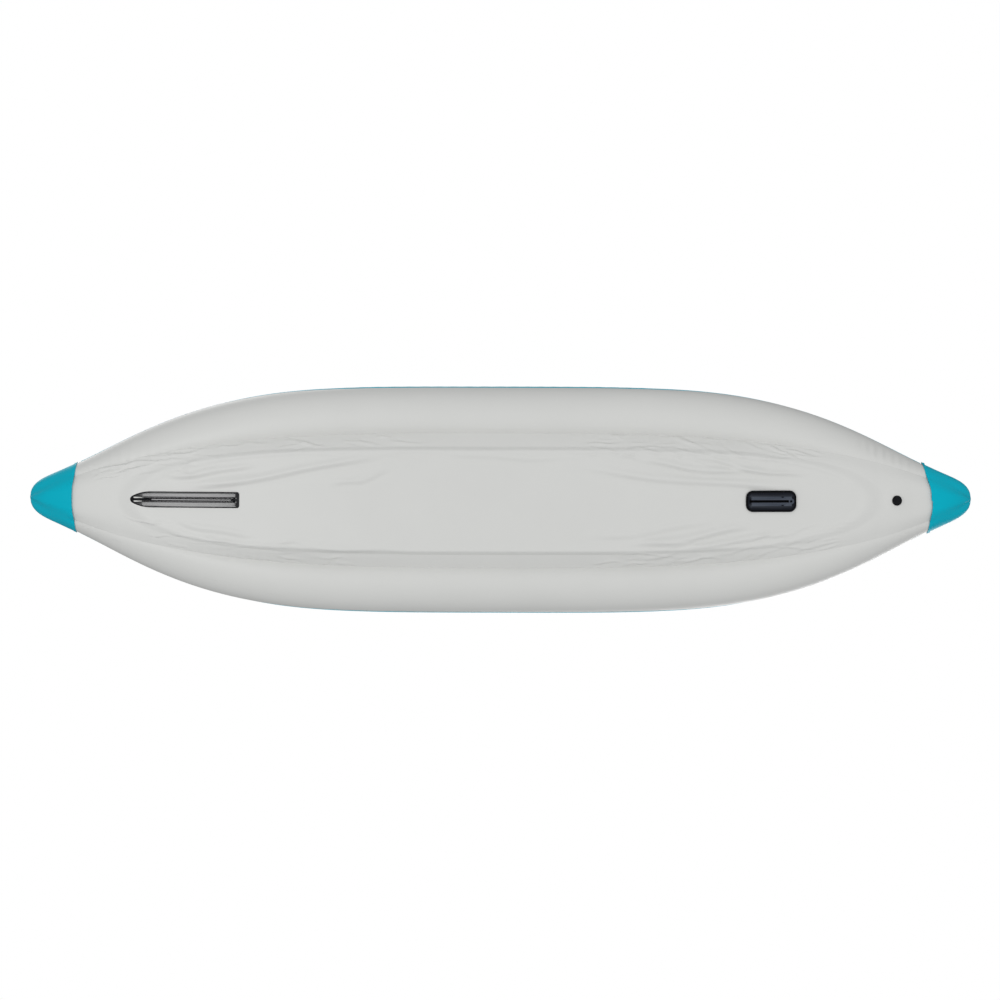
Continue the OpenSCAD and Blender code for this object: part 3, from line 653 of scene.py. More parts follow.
def join_pieces(name, pieces):
    """Makes one piece of several that ride on the same body and share a slot."""
    for piece in bpy.context.selected_objects:
        piece.select_set(False)
    for piece in pieces:
        piece.select_set(True)
    bpy.context.view_layer.objects.active = pieces[0]
    replaced = sorted({node for piece in pieces for node in piece.get("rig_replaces", [])})
    bpy.ops.object.join()
    joined = bpy.context.view_layer.objects.active
    joined.name = name
    joined.data.name = name
    if replaced:
        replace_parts(joined, *replaced)
    return joined


# ---------------------------------------------------------------- fabric of the hull


def ripple(x, pitch, phase=0.0):
    """An uneven wave along x, for puckers whose spacing wanders."""
    wander = 0.9 * np.sin(x * 7.3 + phase) + 0.6 * np.sin(x * 17.1 + 2 * phase)
    return np.sin(2 * np.pi * x / pitch + wander)


def unevenness(x, y, seed):
    """Slow, small swells of stretched fabric."""
    total = np.zeros(np.broadcast(x, y).shape)
    rng = np.random.default_rng(seed)
    for size in (0.55, 0.34, 0.21, 0.13):
        for _ in range(3):
            turn, phase = rng.uniform(0, np.pi), rng.uniform(0, 2 * np.pi)
            heading = x * np.cos(turn) * 0.4 + y * np.sin(turn)
            total = total + size * np.sin(2 * np.pi / size * heading + phase)
    return total / 3.5


# Long soft creases of the floor panel: from, to, half width, height, in metres
CREASES = (
    ((1.095, 0.048), (0.420, 0.170), 0.013, 0.0034),
    ((0.604, 0.060), (0.390, 0.113), 0.010, 0.0018),
    ((1.180, 0.085), (0.860, 0.135), 0.010, 0.0022),
    ((-0.494, 0.149), (-0.954, 0.103), 0.012, 0.0032),
    ((-0.281, 0.120), (-1.060, 0.050), 0.014, 0.0026),
    ((-0.700, 0.160), (-1.090, 0.090), 0.009, 0.0024),
    ((-0.441, -0.152), (-0.890, -0.081), 0.013, 0.0034),
    ((-0.501, -0.163), (-1.014, -0.110), 0.011, 0.0028),
    ((-0.300, -0.125), (-0.760, -0.060), 0.014, 0.0016),
    ((0.780, -0.145), (0.330, -0.165), 0.012, 0.0014),
    ((1.150, -0.070), (0.860, -0.120), 0.012, 0.0014),
    ((0.230, 0.176), (-0.250, 0.160), 0.012, 0.0012),
)


def crease_heights(x, y):
    """Height of the floor panel's long creases: a soft ridge with a sharper hollow beside it."""
    total = np.zeros(x.shape)
    for start, end, width, height in CREASES:
        line = np.array(end) - np.array(start)
        length = np.linalg.norm(line)
        line = line / length
        t = ((x - start[0]) * line[0] + (y - start[1]) * line[1]) / length
        bow = 0.012 * np.sin(np.pi * np.clip(t, 0, 1)) + 0.004 * np.sin(9 * t + start[0] * 5)
        away = (x - start[0]) * -line[1] + (y - start[1]) * line[0] - bow
        taper = window(t, 0.1, 0.9, 0.16)
        ridge = swell(away, width) - 0.75 * swell(away - 1.7 * width, 0.9 * width)
        total += 2.7 * height * taper * ridge
    return total


def fine_creases(x, y, side):
    """Many short, thin creases of slack fabric, lying nearly along the seams. They are seeded."""
    rng = np.random.default_rng(7 + side)
    total = np.zeros(x.shape)
    # From, to and how many
    zones = {PORT: ((0.86, 1.40, 34), (-1.12, -0.22, 56), (0.30, 0.86, 14)),
             STARBOARD: ((-1.20, -0.35, 46), (0.55, 1.30, 22))}
    for low, high, count in zones[side]:
        for _ in range(count):
            cx = rng.uniform(low, high)
            cy = crease_y(cx) - 0.004 - 0.085 * rng.random() ** 1.4
            slope = (crease_y(cx + 0.02) - crease_y(cx - 0.02)) / 0.04
            angle = math.atan(slope) + rng.normal(0, 0.16)
            length, width = rng.uniform(0.020, 0.065), rng.uniform(0.0028, 0.0055)
            height = rng.uniform(0.0010, 0.0034)
            dx, dy = x - cx, y - cy
            near = (dx * math.cos(angle) + dy * math.sin(angle)) / length
            away = (-dx * math.sin(angle) + dy * math.cos(angle) - 0.004 * np.sin(near * 2.2)) / width
            total += height * swell(near, 1) * (swell(away, 1) - 0.6 * swell(away - 1.6, 1))
    return total


def seam_puckers(x, side, from_seam):
    """Small gathers across the seam line, where the weld has drawn the fabric in."""
    # From, to and height
    places = {PORT: ((0.92, 1.38, 0.0015), (-1.06, -0.25, 0.0016), (-0.1, 0.7, 0.0004)),
              STARBOARD: ((-1.05, -0.30, 0.0010), (0.75, 1.25, 0.0008))}
    total = np.zeros(x.shape)
    for low, high, height in places[side]:
        total += height * window(x, low, high, 0.08) * ripple(x, 0.035, low)
    return total * swell(from_seam, 0.016, 1)


def tube_puckers(x, side, deg):
    """Short creases round the tubes near the ends, where the tube bends most."""
    around = window(deg, -62, -22, 18)
    height = {PORT: 0.0052, STARBOARD: 0.0012}[side]
    creases = 0.5 - np.abs(ripple(x / 2, 0.028, 1.0)) ** 0.45
    stern = window(x, -1.46, -1.27, 0.03) * height * creases
    bow = window(x, 1.28, 1.45, 0.04) * 0.0004 * ripple(x, 0.036, 2.0)
    return (stern + bow) * around


SKIN_END = CAP_X + 0.046
# The deepest that a crease may cut in, and how far the floor chamber swells the panel
HOLLOW_LIMIT, BULGE = 0.0019, 0.0064


def hull_bottom():
    """The grey bottom: a panel under the floor chamber, seamed to the lower half of each tube."""
    xs = stations(-SKIN_END, SKIN_END, 359)[:, None]
    down = np.array([0, 0, -1.0])
    ends = window(xs, -SKIN_END, SKIN_END, 0.03)
    # The valley at the seam fades where the tubes and the panel run together at the ends
    valley = 0.0030 * (1 - 0.85 * smooth_step(along(xs), 0.55, 0.80))

    u = np.linspace(0, 1, 61)[None]
    u = 0.55 * u + 0.45 * np.sin(np.pi / 2 * u)
    flat = panel_point(xs, u)
    normal = grid_normals(flat, down)
    x, y = flat[..., 0], flat[..., 1]
    from_seam = crease_y(xs) - y
    inside = smooth_step(from_seam, 0.0, 0.05)
    oval = 1 - np.sqrt((x / (FLOOR_LEN + 0.02)) ** 4 + (y / (FLOOR_HALF + 0.004)) ** 2)
    bulge = BULGE * smooth_step(oval, -0.01, 0.07) + 0.0026 * swell(oval - 0.09, 0.03)
    low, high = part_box("drain_seat")
    to_drain = np.hypot(x - (low.x + high.x) / 2, y)
    recess = (bulge - BULGE) * (1 - swell(to_drain, 0.045))

    w = np.linspace(0, 1, 40)[None]
    degrees = crease_deg(xs) + (seam_deg(xs) - crease_deg(xs)) * w**1.15
    round_part = tube_point(xs, degrees)
    round_normal = grid_normals(round_part, down)
    arc = np.concatenate([0 * xs, np.cumsum(np.linalg.norm(np.diff(round_part, axis=1), axis=2), 1)], 1)
    hold = smooth_step(arc[:, -1:] - arc, 0.0, 0.04) * ends

    halves = {}
    for name, side in SIDES:
        height = (crease_heights(x, y * side) + 0.0009 * unevenness(x, y * side, 4)) * inside
        height += fine_creases(x, y, side) * smooth_step(from_seam, 0, 0.006)
        height += seam_puckers(x, side, from_seam)
        height = np.where(height < 0, HOLLOW_LIMIT * np.tanh(height / HOLLOW_LIMIT), height)
        panel = flat + normal * (height * ends + recess)[..., None]
        height = 0.7 * seam_puckers(x[:, :1], side, arc) + tube_puckers(x[:, :1], side, degrees)
        slow = unevenness(xs, round_part[..., 1] * side, 4)
        height = height + 0.0012 * slow * smooth_step(arc, 0, 0.03)
        tube = round_part + round_normal * (height * hold)[..., None]
        # Both sheets are drawn in to one line, which is their seam
        seam = (panel[:, -1:] + tube[:, :1]) / 2 - valley[..., None] * down
        panel = panel + (seam - panel[:, -1:]) * swell(from_seam, 0.009, 1.3)[..., None]
        tube = tube + (seam - tube[:, :1]) * swell(arc, 0.011, 1.3)[..., None]
        for sheet in (panel, tube):
            sheet[..., 1] *= side
        halves[side] = panel
        make_sheet(f"{name}_tube_bottom", tube, down, "hull_grey", sharp=70)
    points = np.concatenate([halves[STARBOARD][:, :0:-1], halves[PORT]], 1)
    make_sheet("bottom_panel", points, down, "hull_grey", stands_for=("hull_bottom_skin",), sharp=70)


def ruffled(points, outward, height, side):
    """The grid raised along its normals by a height at each point, and put on its side of the boat."""
    points = points + grid_normals(points, np.array(outward)) * height[..., None]
    points[..., 1] *= side
    return points


def side_covers():
    """Turquoise upper half of each tube, with gathers along both of its seams."""
    xs = stations(-CAP_X, CAP_X, 299)[:, None]
    w = np.linspace(0, 1, 44)[None]
    for name, side in SIDES:
        low = seam_deg(xs) + 0.3
        degrees = low + (RIM_DEG - 0.4 - low) * w
        hold = smooth_step(w, 0, 0.2) * smooth_step(1 - w, 0, 0.2) * window(xs, -CAP_X, CAP_X, 0.03)
        gathers = ripple(xs, 0.052, side) * (swell(w, 0.16, 1) + swell(1 - w, 0.16, 1))
        ends = window(np.abs(xs), 1.15, 1.47, 0.1)
        height = 0.0011 * unevenness(xs, degrees / 300, 11 + side) + gathers * (0.0007 + 0.0016 * ends)
        points = ruffled(tube_point(xs, degrees), (0, 1.0, 0), height * hold, side)
        make_sheet(f"{name}_cover", points, np.array([0, float(side), 0]), "cover_turquoise",
                   stands_for=(f"{name}_side_cover",), sharp=70)


def inner_liners():
    """Charcoal fabric down the inside of each tube to the floor."""
    xs = stations(-STERN_DECK_X - 0.06, BOW_DECK_X + 0.06, 149)[:, None]
    w = np.linspace(0, 1, 34)[None]
    for name, side in SIDES:
        degrees = RIM_DEG + 0.4 + (200 - RIM_DEG - 0.4) * w
        hold = smooth_step(w, 0, 0.15) * smooth_step(1 - w, 0, 0.15)
        gathers = ripple(xs, 0.06, 3 * side) * swell(1 - w, 0.2, 1)
        height = 0.0012 * unevenness(xs, degrees / 260, 21 + side) + 0.0012 * gathers
        points = ruffled(tube_point(xs, degrees), (0, -1.0, 0.6), height * hold, side)
        make_sheet(f"{name}_liner", points, np.array([0, -float(side), 0.6]), "liner_charcoal",
                   stands_for=(f"{name}_inner_liner",), sharp=70)


def deck_edge_x(edge, v):
    return edge + DECK_SCOOP * (1 - v * v)


DECK_LIFT = 0.0022


def decks():
    """Crowned decks, with soft tension folds that run from the corners of the cockpit."""
    v = np.linspace(-1, 1, 84)[None] * 0.996
    u = np.linspace(0, 1, 110)[:, None]
    for (name, end), edge in zip(ENDS, (BOW_DECK_X, STERN_DECK_X)):
        xs = deck_edge_x(edge, v) * (1 - u) + CAP_X * u
        points = deck_point(xs, v)
        points[..., 0] *= end
        hold = smooth_step(1 - np.abs(v), 0, 0.1) * smooth_step(1 - u, 0, 0.1) * smooth_step(u, 0, 0.05)
        fan = np.arctan2(points[..., 1], xs - edge + 0.12)
        folds = 0.0019 * np.sin(fan * 17 + 1.3 * np.sin(xs * 6)) * swell(u, 0.4, 1)
        height = 0.0016 * unevenness(xs, points[..., 1], 31 + end) + folds
        points = ruffled(points, (0, 0, 1.0), height * hold, 1)
        points[..., 2] += DECK_LIFT
        make_sheet(f"{name}_deck_cover", points, np.array([0, 0, 1.0]), "cover_turquoise",
                   stands_for=(f"{name}_deck",), sharp=70)


def cap_half(end, side, shares, proud):
    """One side of a cap, from the keel round the tube to the middle of the deck."""
    panel_count, tube_count, deck_count = 17, 30, 14
    around = np.concatenate([np.linspace(0, 1, panel_count),
                             np.linspace(1, 2, tube_count + 1)[1:],
                             np.linspace(2, 3, deck_count + 1)[1:]])
    # Where the cap's edge lies: level with the corners at the side seams, and nearer the tip below
    middle, corner = {(BOW, PORT): (1.519, 1.501), (BOW, STARBOARD): (1.519, 1.503),
                      (STERN, PORT): (1.527, 1.493), (STERN, STARBOARD): (1.531, 1.513)}[end, side]
    below = 1 - smooth_step(around, 0.1, 1.62) ** 1.5
    above = smooth_step(around, 1.75, 2.4)
    edge = corner + (middle - corner) * below - (corner - CAP_X) * above
    x = edge + (HALF_LEN * 0.9992 - edge) * shares[:, None]
    tube_part = slice(panel_count, panel_count + tube_count)
    deck_part = slice(panel_count + tube_count, None)
    panel = panel_point(x[:, :panel_count], around[None, :panel_count])
    start = crease_deg(x[:, tube_part])
    tube = tube_point(x[:, tube_part], start + (RIM_DEG - start) * (around[None, tube_part] - 1))
    deck = deck_point(x[:, deck_part], 3 - around[None, deck_part])
    half = np.concatenate([panel, tube, deck], 1)
    centre = np.stack([x, 0 * x, tube_z(x)], -1)
    away = half - centre
    size = np.linalg.norm(away, axis=-1, keepdims=True)
    out = np.full(x.shape, proud)
    # The corners curl away from the hull
    curl = swell(around - 1.62, 0.13)[None] * swell(shares, 0.045, 1)[:, None]
    out = out + (0.0046 if end == BOW else 0.0085) * curl
    # The fabric is drawn into flat facets and soft folds
    facets = 0.0016 * np.cos(np.pi * 4.2 * around + 0.6 * side)[None] * swell(shares - 0.42, 0.3)[:, None]
    folds = 0.0005 * np.sin(around * 19 + 2 * side)[None] * swell(shares, 0.16, 1)[:, None]
    out = out + (facets + folds) * smooth_step(size[..., 0], 0.01, 0.05)
    half = half + away / np.maximum(size, 1e-6) * (out * np.minimum(1, size[..., 0] / 0.03))[..., None]
    half[..., 1] *= side
    half[..., 0] *= end
    return half


def end_caps():
    """Turquoise tip covers, whose edge curls into a small lip at each side seam."""
    tip_shares = 1 - 0.15 * np.cos(np.linspace(0, np.pi / 2, 28)[1:-1])
    shares = np.concatenate([np.linspace(0, 0.08, 10), np.linspace(0.08, 0.85, 46)[1:], tip_shares])
    for name, end in ENDS:
        port, starboard = (cap_half(end, side, shares, 0.0024) for side in (PORT, STARBOARD))
        rings = np.concatenate([port, starboard[:, -2:0:-1]], 1)
        even = smooth_step(shares, 0.05, 0.5)[:, None, None]
        for _ in range(14):
            rings += even * 0.5 * ((np.roll(rings, 1, 1) + np.roll(rings, -1, 1)) / 2 - rings)
        tip = np.array([end * HALF_LEN, 0, tube_z(HALF_LEN)])
        edge = rings[0]
        centre = np.array([0, 0, tube_z(CAP_X)])
        # The hem turns inwards: how far in, and how far along
        hem = []
        for inward, shift in ((0.30, 0.030), (0.0045, 0.010), (0.0020, 0.0010), (0.0008, 0.0)):
            to_middle = (centre - edge) * np.array([0, 1, 1])
            length = np.linalg.norm(to_middle, axis=1, keepdims=True)
            step = np.minimum(inward, 0.9 * length)
            hem.append(edge + to_middle / length * step + np.array([end * shift, 0, 0]))
        rings = np.concatenate([np.array(hem), rings])
        make_loft(f"{name}_tip", rings, "cover_turquoise", end=tip, stands_for=(f"{name}_cap",), sharp=60)


def bladder_end(ring, scale, reach):
    """One ring of a bladder's rounded end, drawn in about its middle."""
    middle = ring.mean(0)
    return (ring - middle) * scale + middle + np.array([reach * (1 - scale) / 0.45, 0, 0.002])


def air_chambers():
    """The two tubes' bladders and the floor chamber, seen under the decks and beside the mat."""
    reach = HALF_LEN - 0.118
    scales = (0.55, 0.78, 0.92)
    angle = full_turn(40)
    inset = 0.0058 + 0.0006 * np.cos(angle * 2)[None]
    for name, side in SIDES:
        rings = tube_point(stations(-reach, reach, 90)[:, None], np.degrees(angle)[None], inset)
        close = [bladder_end(rings[0], scale, -0.022) for scale in scales]
        far = [bladder_end(rings[-1], scale, 0.022) for scale in reversed(scales)]
        rings = np.concatenate([close, rings, far])
        rings[..., 1] *= side
        make_loft(f"{name}_bladder", rings, "chamber_film", stands_for=(f"{name}_air_chamber",))
    xs = stations(-FLOOR_LEN * 0.995, FLOOR_LEN * 0.995, 110)[:, None]
    angle = full_turn(48)
    between_tubes = np.maximum(tube_y(xs) - tube_a(xs) * 0.93, 0.03)
    y = squared(np.cos(angle), 0.3) * np.minimum(floor_y(xs), between_tubes) * 0.985
    z = keel_z(xs) + FLOOR_GAP + FLOOR_T / 2 + squared(np.sin(angle), 0.35) * (FLOOR_T / 2 - 0.001)
    rings = np.stack(np.broadcast_arrays(xs, y, z), -1)
    make_loft("drop_stitch_floor", rings, "floor_grey", stands_for=("floor_chamber",), sharp=60)


# ---------------------------------------------------------------- trims of the hull


def trims():
    """Piping on the rims, a padded coaming round the cockpit, and welded seam tapes."""
    pipe = round_profile(0.0032, 10)
    xs = stations(-CAP_X + 0.004, CAP_X - 0.004, 220)
    for name, side in SIDES:
        rim = tube_point(xs, RIM_DEG, -0.0012)
        rim[:, 1] *= side
        make_sweep(f"{name}_rim_piping", rim, pipe, (0, 0, 1), "liner_charcoal")
        middle = seam_deg(xs) + 2.8
        seam = tube_point(xs, middle, -0.0003)
        seam[:, 1] *= side
        outward = np.stack([0 * xs, side * np.cos(np.radians(middle)), np.sin(np.radians(middle))], -1)
        make_sweep(f"{name}_seam_tape", seam, strap_profile(0.009, 0.0016, 12), outward, "cover_turquoise")
    for (name, end), edge in zip(ENDS, (BOW_DECK_X, STERN_DECK_X)):
        v = np.linspace(-1.0, 1.0, 90)
        xs = deck_edge_x(edge, v)
        points = deck_point(xs, v)
        points[:, 0] *= end
        points[:, 2] += 0.0035
        fullness = 1 - 0.35 * smooth_step(np.abs(v), 0.9, 1.0)
        make_sweep(f"{name}_coaming", points, round_profile(0.0085, 16), (0, 0, 1), "liner_charcoal",
                   fullness=fullness)


def floor_mat():
    """Foam mat with grooves across it, welded down at its edges."""
    low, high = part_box("floor_mat")
    xs = np.linspace(low.x + 0.004, high.x - 0.004, 260)[:, None]
    v = np.linspace(-1, 1, 40)[None]
    y = v * (high.y - 0.002)
    base = keel_z(xs) + FLOOR_GAP + FLOOR_T + 0.0014
    groove = (0.5 + 0.5 * np.cos(2 * np.pi * xs / 0.024)) ** 6
    inner = smooth_step(0.94 - np.abs(v), 0, 0.03) * window(xs, low.x + 0.02, high.x - 0.02, 0.006)
    top = base + 0.0042 - 0.0018 * groove * inner - 0.0012 * (1 - inner)
    points = np.stack(np.broadcast_arrays(xs, y, top), -1)
    make_sheet("grooved_mat", points, np.array([0, 0, 1.0]), "mat_black", thickness=0.0026,
               stands_for=("floor_mat",), sharp=50)


# ---------------------------------------------------------------- soft padded pieces


def rounded_slab(name, length, width, height, corner, slot):
    """A padded block centred on the origin: superellipse outline and soft edges."""
    around = 96
    x, y = superellipse(around, 2 * corner / min(length, width), length, width)
    rings = []
    for tilt in np.linspace(-1, 1, 18) * np.pi / 2:
        scale = squared(np.cos(tilt), 0.28)
        z = squared(np.sin(tilt), 0.75) * height / 2
        rings.append(np.stack([x * scale, y * scale, np.full(around, z)], -1))
    rings = [ring for ring in rings if np.abs(ring[:, :2]).max() > 0.004]
    return make_loft(name, rings, slot, body=None, start=(0, 0, -height / 2), end=(0, 0, height / 2))


def apply_modifiers(piece):
    """Replaces the piece's mesh with what its modifiers make of it."""
    graph = bpy.context.evaluated_depsgraph_get()
    baked = bpy.data.meshes.new_from_object(piece.evaluated_get(graph))
    piece.modifiers.clear()
    old = piece.data
    piece.data = baked
    bpy.data.meshes.remove(old)


def coordinates(mesh):
    flat = np.zeros(len(mesh.vertices) * 3, np.float32)
    mesh.vertices.foreach_get("co", flat)
    return flat.reshape(-1, 3).astype(float)


def set_coordinates(mesh, points):
    mesh.vertices.foreach_set("co", np.asarray(points, np.float32).ravel())
    mesh.update()


def voxel_remesh(piece, size=0.005):
    remesh = piece.modifiers.new("remesh", "REMESH")
    remesh.mode = "VOXEL"
    remesh.voxel_size = size
    apply_modifiers(piece)


CLOTH_FRAMES = 20


def inflate(piece, growth=0.05, reach=0.009):
    """Blows the piece up as cloth that is a little too big for its filling, so that it wrinkles."""
    scene = bpy.context.scene
    start = coordinates(piece.data)
    cloth = piece.modifiers.new("cloth", "CLOTH")
    cloth.settings.use_pressure = True
    cloth.settings.uniform_pressure_force = 4.0
    cloth.settings.shrink_min = -growth
    cloth.settings.effector_weights.gravity = 0.0
    cloth.settings.tension_stiffness = 12
    cloth.settings.bending_stiffness = 0.4
    cloth.point_cache.frame_start = 1
    cloth.point_cache.frame_end = CLOTH_FRAMES
    for step in range(CLOTH_FRAMES):
        scene.frame_set(step + 1)
    graph = bpy.context.evaluated_depsgraph_get()
    blown = coordinates(piece.evaluated_get(graph).data)
    piece.modifiers.clear()
    scene.frame_set(1)
    move = blown - start
    size = np.linalg.norm(move, axis=1, keepdims=True)
    set_coordinates(piece.data, start + move * np.minimum(1, reach / np.maximum(size, 1e-9)))


def subdivide(piece):
    smooth = piece.modifiers.new("smooth", "SUBSURF")
    smooth.levels = 1
    smooth.render_levels = 1
    apply_modifiers(piece)


def fit_to(points, low, high):
    """Scales points about their middle so that they just fill a box."""
    here_low, here_high = points.min(0), points.max(0)
    share = (points - here_low) / (here_high - here_low)
    return low + share * (np.array(high) - low)


def press_lines(points, lines, width, depth):
    """Presses stitched channels into both faces. Each line is (axis, place, from, to)."""
    up = points[:, 2]
    share = (up - up.mean()) / (np.ptp(up) / 2)
    total = np.zeros(len(points))
    for axis, place, low, high in lines:
        cross = 1 - axis
        bowed = place + 0.0025 * np.sin(points[:, cross] * 38 + place * 60)
        taper = window(points[:, cross], low, high, 0.012)
        total = np.maximum(total, swell(points[:, axis] - bowed, width, 1.3) * taper)
    points[:, 2] -= np.sign(share) * smooth_step(np.abs(share), 0.3, 0.8) * depth * total
    return points


def smoothed(loop, times):
    """A closed line of points with its bends eased."""
    for _ in range(times):
        loop = (np.roll(loop, 1, 0) + 2 * loop + np.roll(loop, -1, 0)) / 4
    return loop


def pad_outline(points, height, count=72):
    """The pad's own widest line near one height: the furthest point in each direction, smoothed."""
    near = points[np.abs(points[:, 2] - height) < 0.004]
    middle = (near.min(0) + near.max(0)) / 2
    away = near[:, :2] - middle[:2]
    turn = np.arctan2(away[:, 1], away[:, 0]) % (2 * np.pi)
    reach = np.linalg.norm(away, axis=1)
    sector = np.minimum((turn / (2 * np.pi) * count).astype(int), count - 1)
    members = [np.flatnonzero(sector == k) for k in range(count)]
    outline = near[[inside[reach[inside].argmax()] for inside in members if len(inside)]]
    outline[:, 2] = height
    return smoothed(outline, 2)


PAD_CORNER = 0.055


def padded(name, box_low, box_high, lines, matrix, body, node, welts, depth=0.011):
    """A sewn cushion: cloth over foam, with channels stitched through it, placed by a matrix."""
    low, high = np.array(box_low), np.array(box_high)
    piece = rounded_slab(name, *(high - low) * 0.97, PAD_CORNER, "seat_fabric")
    voxel_remesh(piece)
    inflate(piece)
    points = fit_to(coordinates(piece.data), low + 0.001, high - 0.001)
    points = press_lines(points, lines, 0.006, depth)
    set_coordinates(piece.data, points)
    subdivide(piece)
    points = coordinates(piece.data)
    up = tuple(matrix.to_3x3() @ Vector((0, 0, 1)))
    for part, height in welts:
        piping(f"{name}_{part}_piping", pad_outline(points, height), matrix, up, body)
    set_coordinates(piece.data, placed(matrix, points))
    finish_piece(piece, "seat_fabric", body=body, stands_for=(node,), sharp=80)


def even_path(path, step, closed=False):
    """The same path with points a distance of step apart."""
    path = np.asarray(path, float)
    if closed:
        path = np.concatenate([path, path[:1]])
    length = distances(path)
    count = max(3, int(length[-1] / step))
    places = np.linspace(0, length[-1], count + 1)
    even = np.stack([np.interp(places, length, path[:, k]) for k in range(3)], -1)
    return even[:-1] if closed else even


def placed(matrix, points):
    """The points moved by a matrix."""
    return np.array([matrix @ Vector(p) for p in np.asarray(points)])


def piping(name, outline, matrix, up, body, radius=0.0036):
    """A cord in a fabric sleeve, sewn into the edge of a pad."""
    path = placed(matrix, even_path(outline, 0.006, closed=True))
    make_sweep(name, path, round_profile(radius, 10), up, "webbing_black", closed=True, body=body)


# The fabric hinge at the backrest's foot, and how far the backrest leans aft
BACK_TILT = math.radians(12)
HINGE = Vector((-0.5, 0, 0.176))
BACK = Matrix.Translation(HINGE) @ Matrix.Rotation(-BACK_TILT, 4, "Y")


def seat():
    """Cushion and backrest, each with piping and stitched channels; the backrest stands up about its fabric
    hinge.
    """
    low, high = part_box("seat_cushion")
    lines = [(0, low.x + (high.x - low.x) * share, -0.135, 0.135) for share in (0.27, 0.5, 0.73)]
    welts = (("top", high.z - 0.013), ("base", low.z + 0.013))
    padded("cushion", low, high, lines, Matrix(), "hull", "seat_cushion", welts)

    # The backrest is made lying down and stood up: its local x is up and its local z is forward
    stand = BACK @ Matrix(((0, 0, 1, 0), (0, 1, 0, 0), (1, 0, 0, 0), (0, 0, 0, 1)))
    low, high = (0.003, -0.165, -0.055), (0.388, 0.165, -0.003)
    lines = [(0, place, -0.13, 0.13) for place in (0.105, 0.195, 0.285)]
    welts = (("front", -0.015), ("rear", -0.043))
    padded("backrest_pad", low, high, lines, stand, "backrest", "seat_backrest", welts, depth=0.009)


def footrest():
    """An air-filled roll with gathered ends, held by a webbing loop."""
    low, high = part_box("footrest")
    middle = (low + high) / 2
    radius = (high.z - low.z) / 2
    half = (high.y - low.y) / 2
    angle = full_turn(72)
    rings = []
    for y in np.sin(np.linspace(-1, 1, 40) * math.pi / 2) * half:
        squeeze = (1 - min(1, abs(y) / half) ** 9) ** 0.32 * 0.97
        gather = 1 + 0.035 * np.cos(angle * 12) * smooth_step(abs(y), half * 0.75, half)
        reach = max(radius * squeeze, 0.004) * gather
        rings.append(np.stack([reach * np.cos(angle), np.full(72, y), reach * np.sin(angle)], -1))
    piece = make_loft("footrest_roll", rings, "seat_fabric", body=None)
    voxel_remesh(piece)
    inflate(piece, growth=0.04, reach=0.006)
    room_low, room_high = np.array(low - middle) + 0.001, np.array(high - middle) - 0.001
    points = fit_to(coordinates(piece.data), room_low, room_high)
    points[:, [0, 2]] *= (1 - 0.03 * swell(points[:, 1], 0.021, 6))[:, None]
    set_coordinates(piece.data, points + np.array(middle))
    subdivide(piece)
    finish_piece(piece, "seat_fabric", body="footrest", stands_for=("footrest",), sharp=80)

    def round_roll(turn, y, reach):
        return middle.x + reach * math.cos(turn), y, middle.z + reach * math.sin(turn)

    for part, side in SIDES:
        ring = [round_roll(turn, side * half * 0.86, radius - 0.0015) for turn in angle]
        make_sweep(f"footrest_{part}_piping", ring, round_profile(0.0034, 10), (0, 1, 0), "webbing_black",
                   closed=True, body="footrest")
    # The loop's end lies over its start
    turns = np.linspace(-0.35, 2 * math.pi, 90)
    reaches = radius - 0.0010 + 0.0016 * smooth_step(turns, 5.6, 6.28)
    spiral = [round_roll(turn + 1.2, 0, reach) for turn, reach in zip(turns, reaches)]
    flat = strap_profile(0.038, 0.0018)[:, ::-1]
    make_sweep("footrest_loop", spiral, flat, (0, 1, 0), "webbing_black", body="footrest",
               stands_for=("footrest_strap",))


# ---------------------------------------------------------------- straps, rings and patches


def surface_frame(point_of, dx, dy):
    """Points and outward unit normals of a mapped surface at local offsets."""
    step = 0.002
    here = point_of(dx, dy)
    return here, unit(np.cross(point_of(dx + step, dy) - here, point_of(dx, dy + step) - here))


def make_patch(name, point_of, length, width, height=0.0016, power=0.5, hole=0.0):
    """A welded patch that follows the surface under it, with a pressed line inside its edge."""
    shares = np.array([1.0, 1.0, 0.985, 0.94, 0.90, 0.875, 0.85, 0.80, 0.6, 0.4, 0.2, 0.03])
    heights = np.array([-0.0006, 0.25, 0.85, 1.0, 1.0, 0.55, 1.0, 1.0, 1.0, 1.0, 1.0, 1.0])
    if hole:
        shares = np.where(shares < 0.8, hole + (0.8 - hole) * (shares / 0.8), shares)
    dx, dy = superellipse(72, power, length, width)
    rings = []
    for share, rise in zip(shares, heights):
        here, normal = surface_frame(point_of, dx * share, dy * share)
        rings.append(here + normal * rise * height)
    return make_loft(name, rings, "patch_charcoal", sharp=50)


def on_tube(x0, deg0, side, lift=0.0):
    """Maps offsets along the hull and round the tube to points on a side tube."""
    def point_of(dx, dy):
        points = tube_point(x0 + dx, deg0 - side * np.degrees(dy / tube_a(x0)), -lift)
        points[..., 1] *= side
        return points

    return point_of


def on_deck(x0, v0, end, lift=DECK_LIFT):
    """Maps offsets along and across a deck to points on it."""
    rim = tube_point(x0, RIM_DEG)[1]

    def point_of(dx, dy):
        points = deck_point(np.abs(end * x0 + dx), v0 + dy / rim)
        points[..., 0] *= end
        points[..., 2] += lift
        return points

    return point_of


def ring_place(x, side):
    """Where a D-ring stands: on top of a side tube."""
    return np.array([x, side * tube_y(x), tube_point(x, 90)[2] + 0.012])


def back_place(up, out, behind):
    """A place on the backrest, measured from its hinge."""
    return np.array(BACK @ Vector((-behind, out, up)))


FRONT_RING_X, REAR_RING_X = 0.060, -0.712
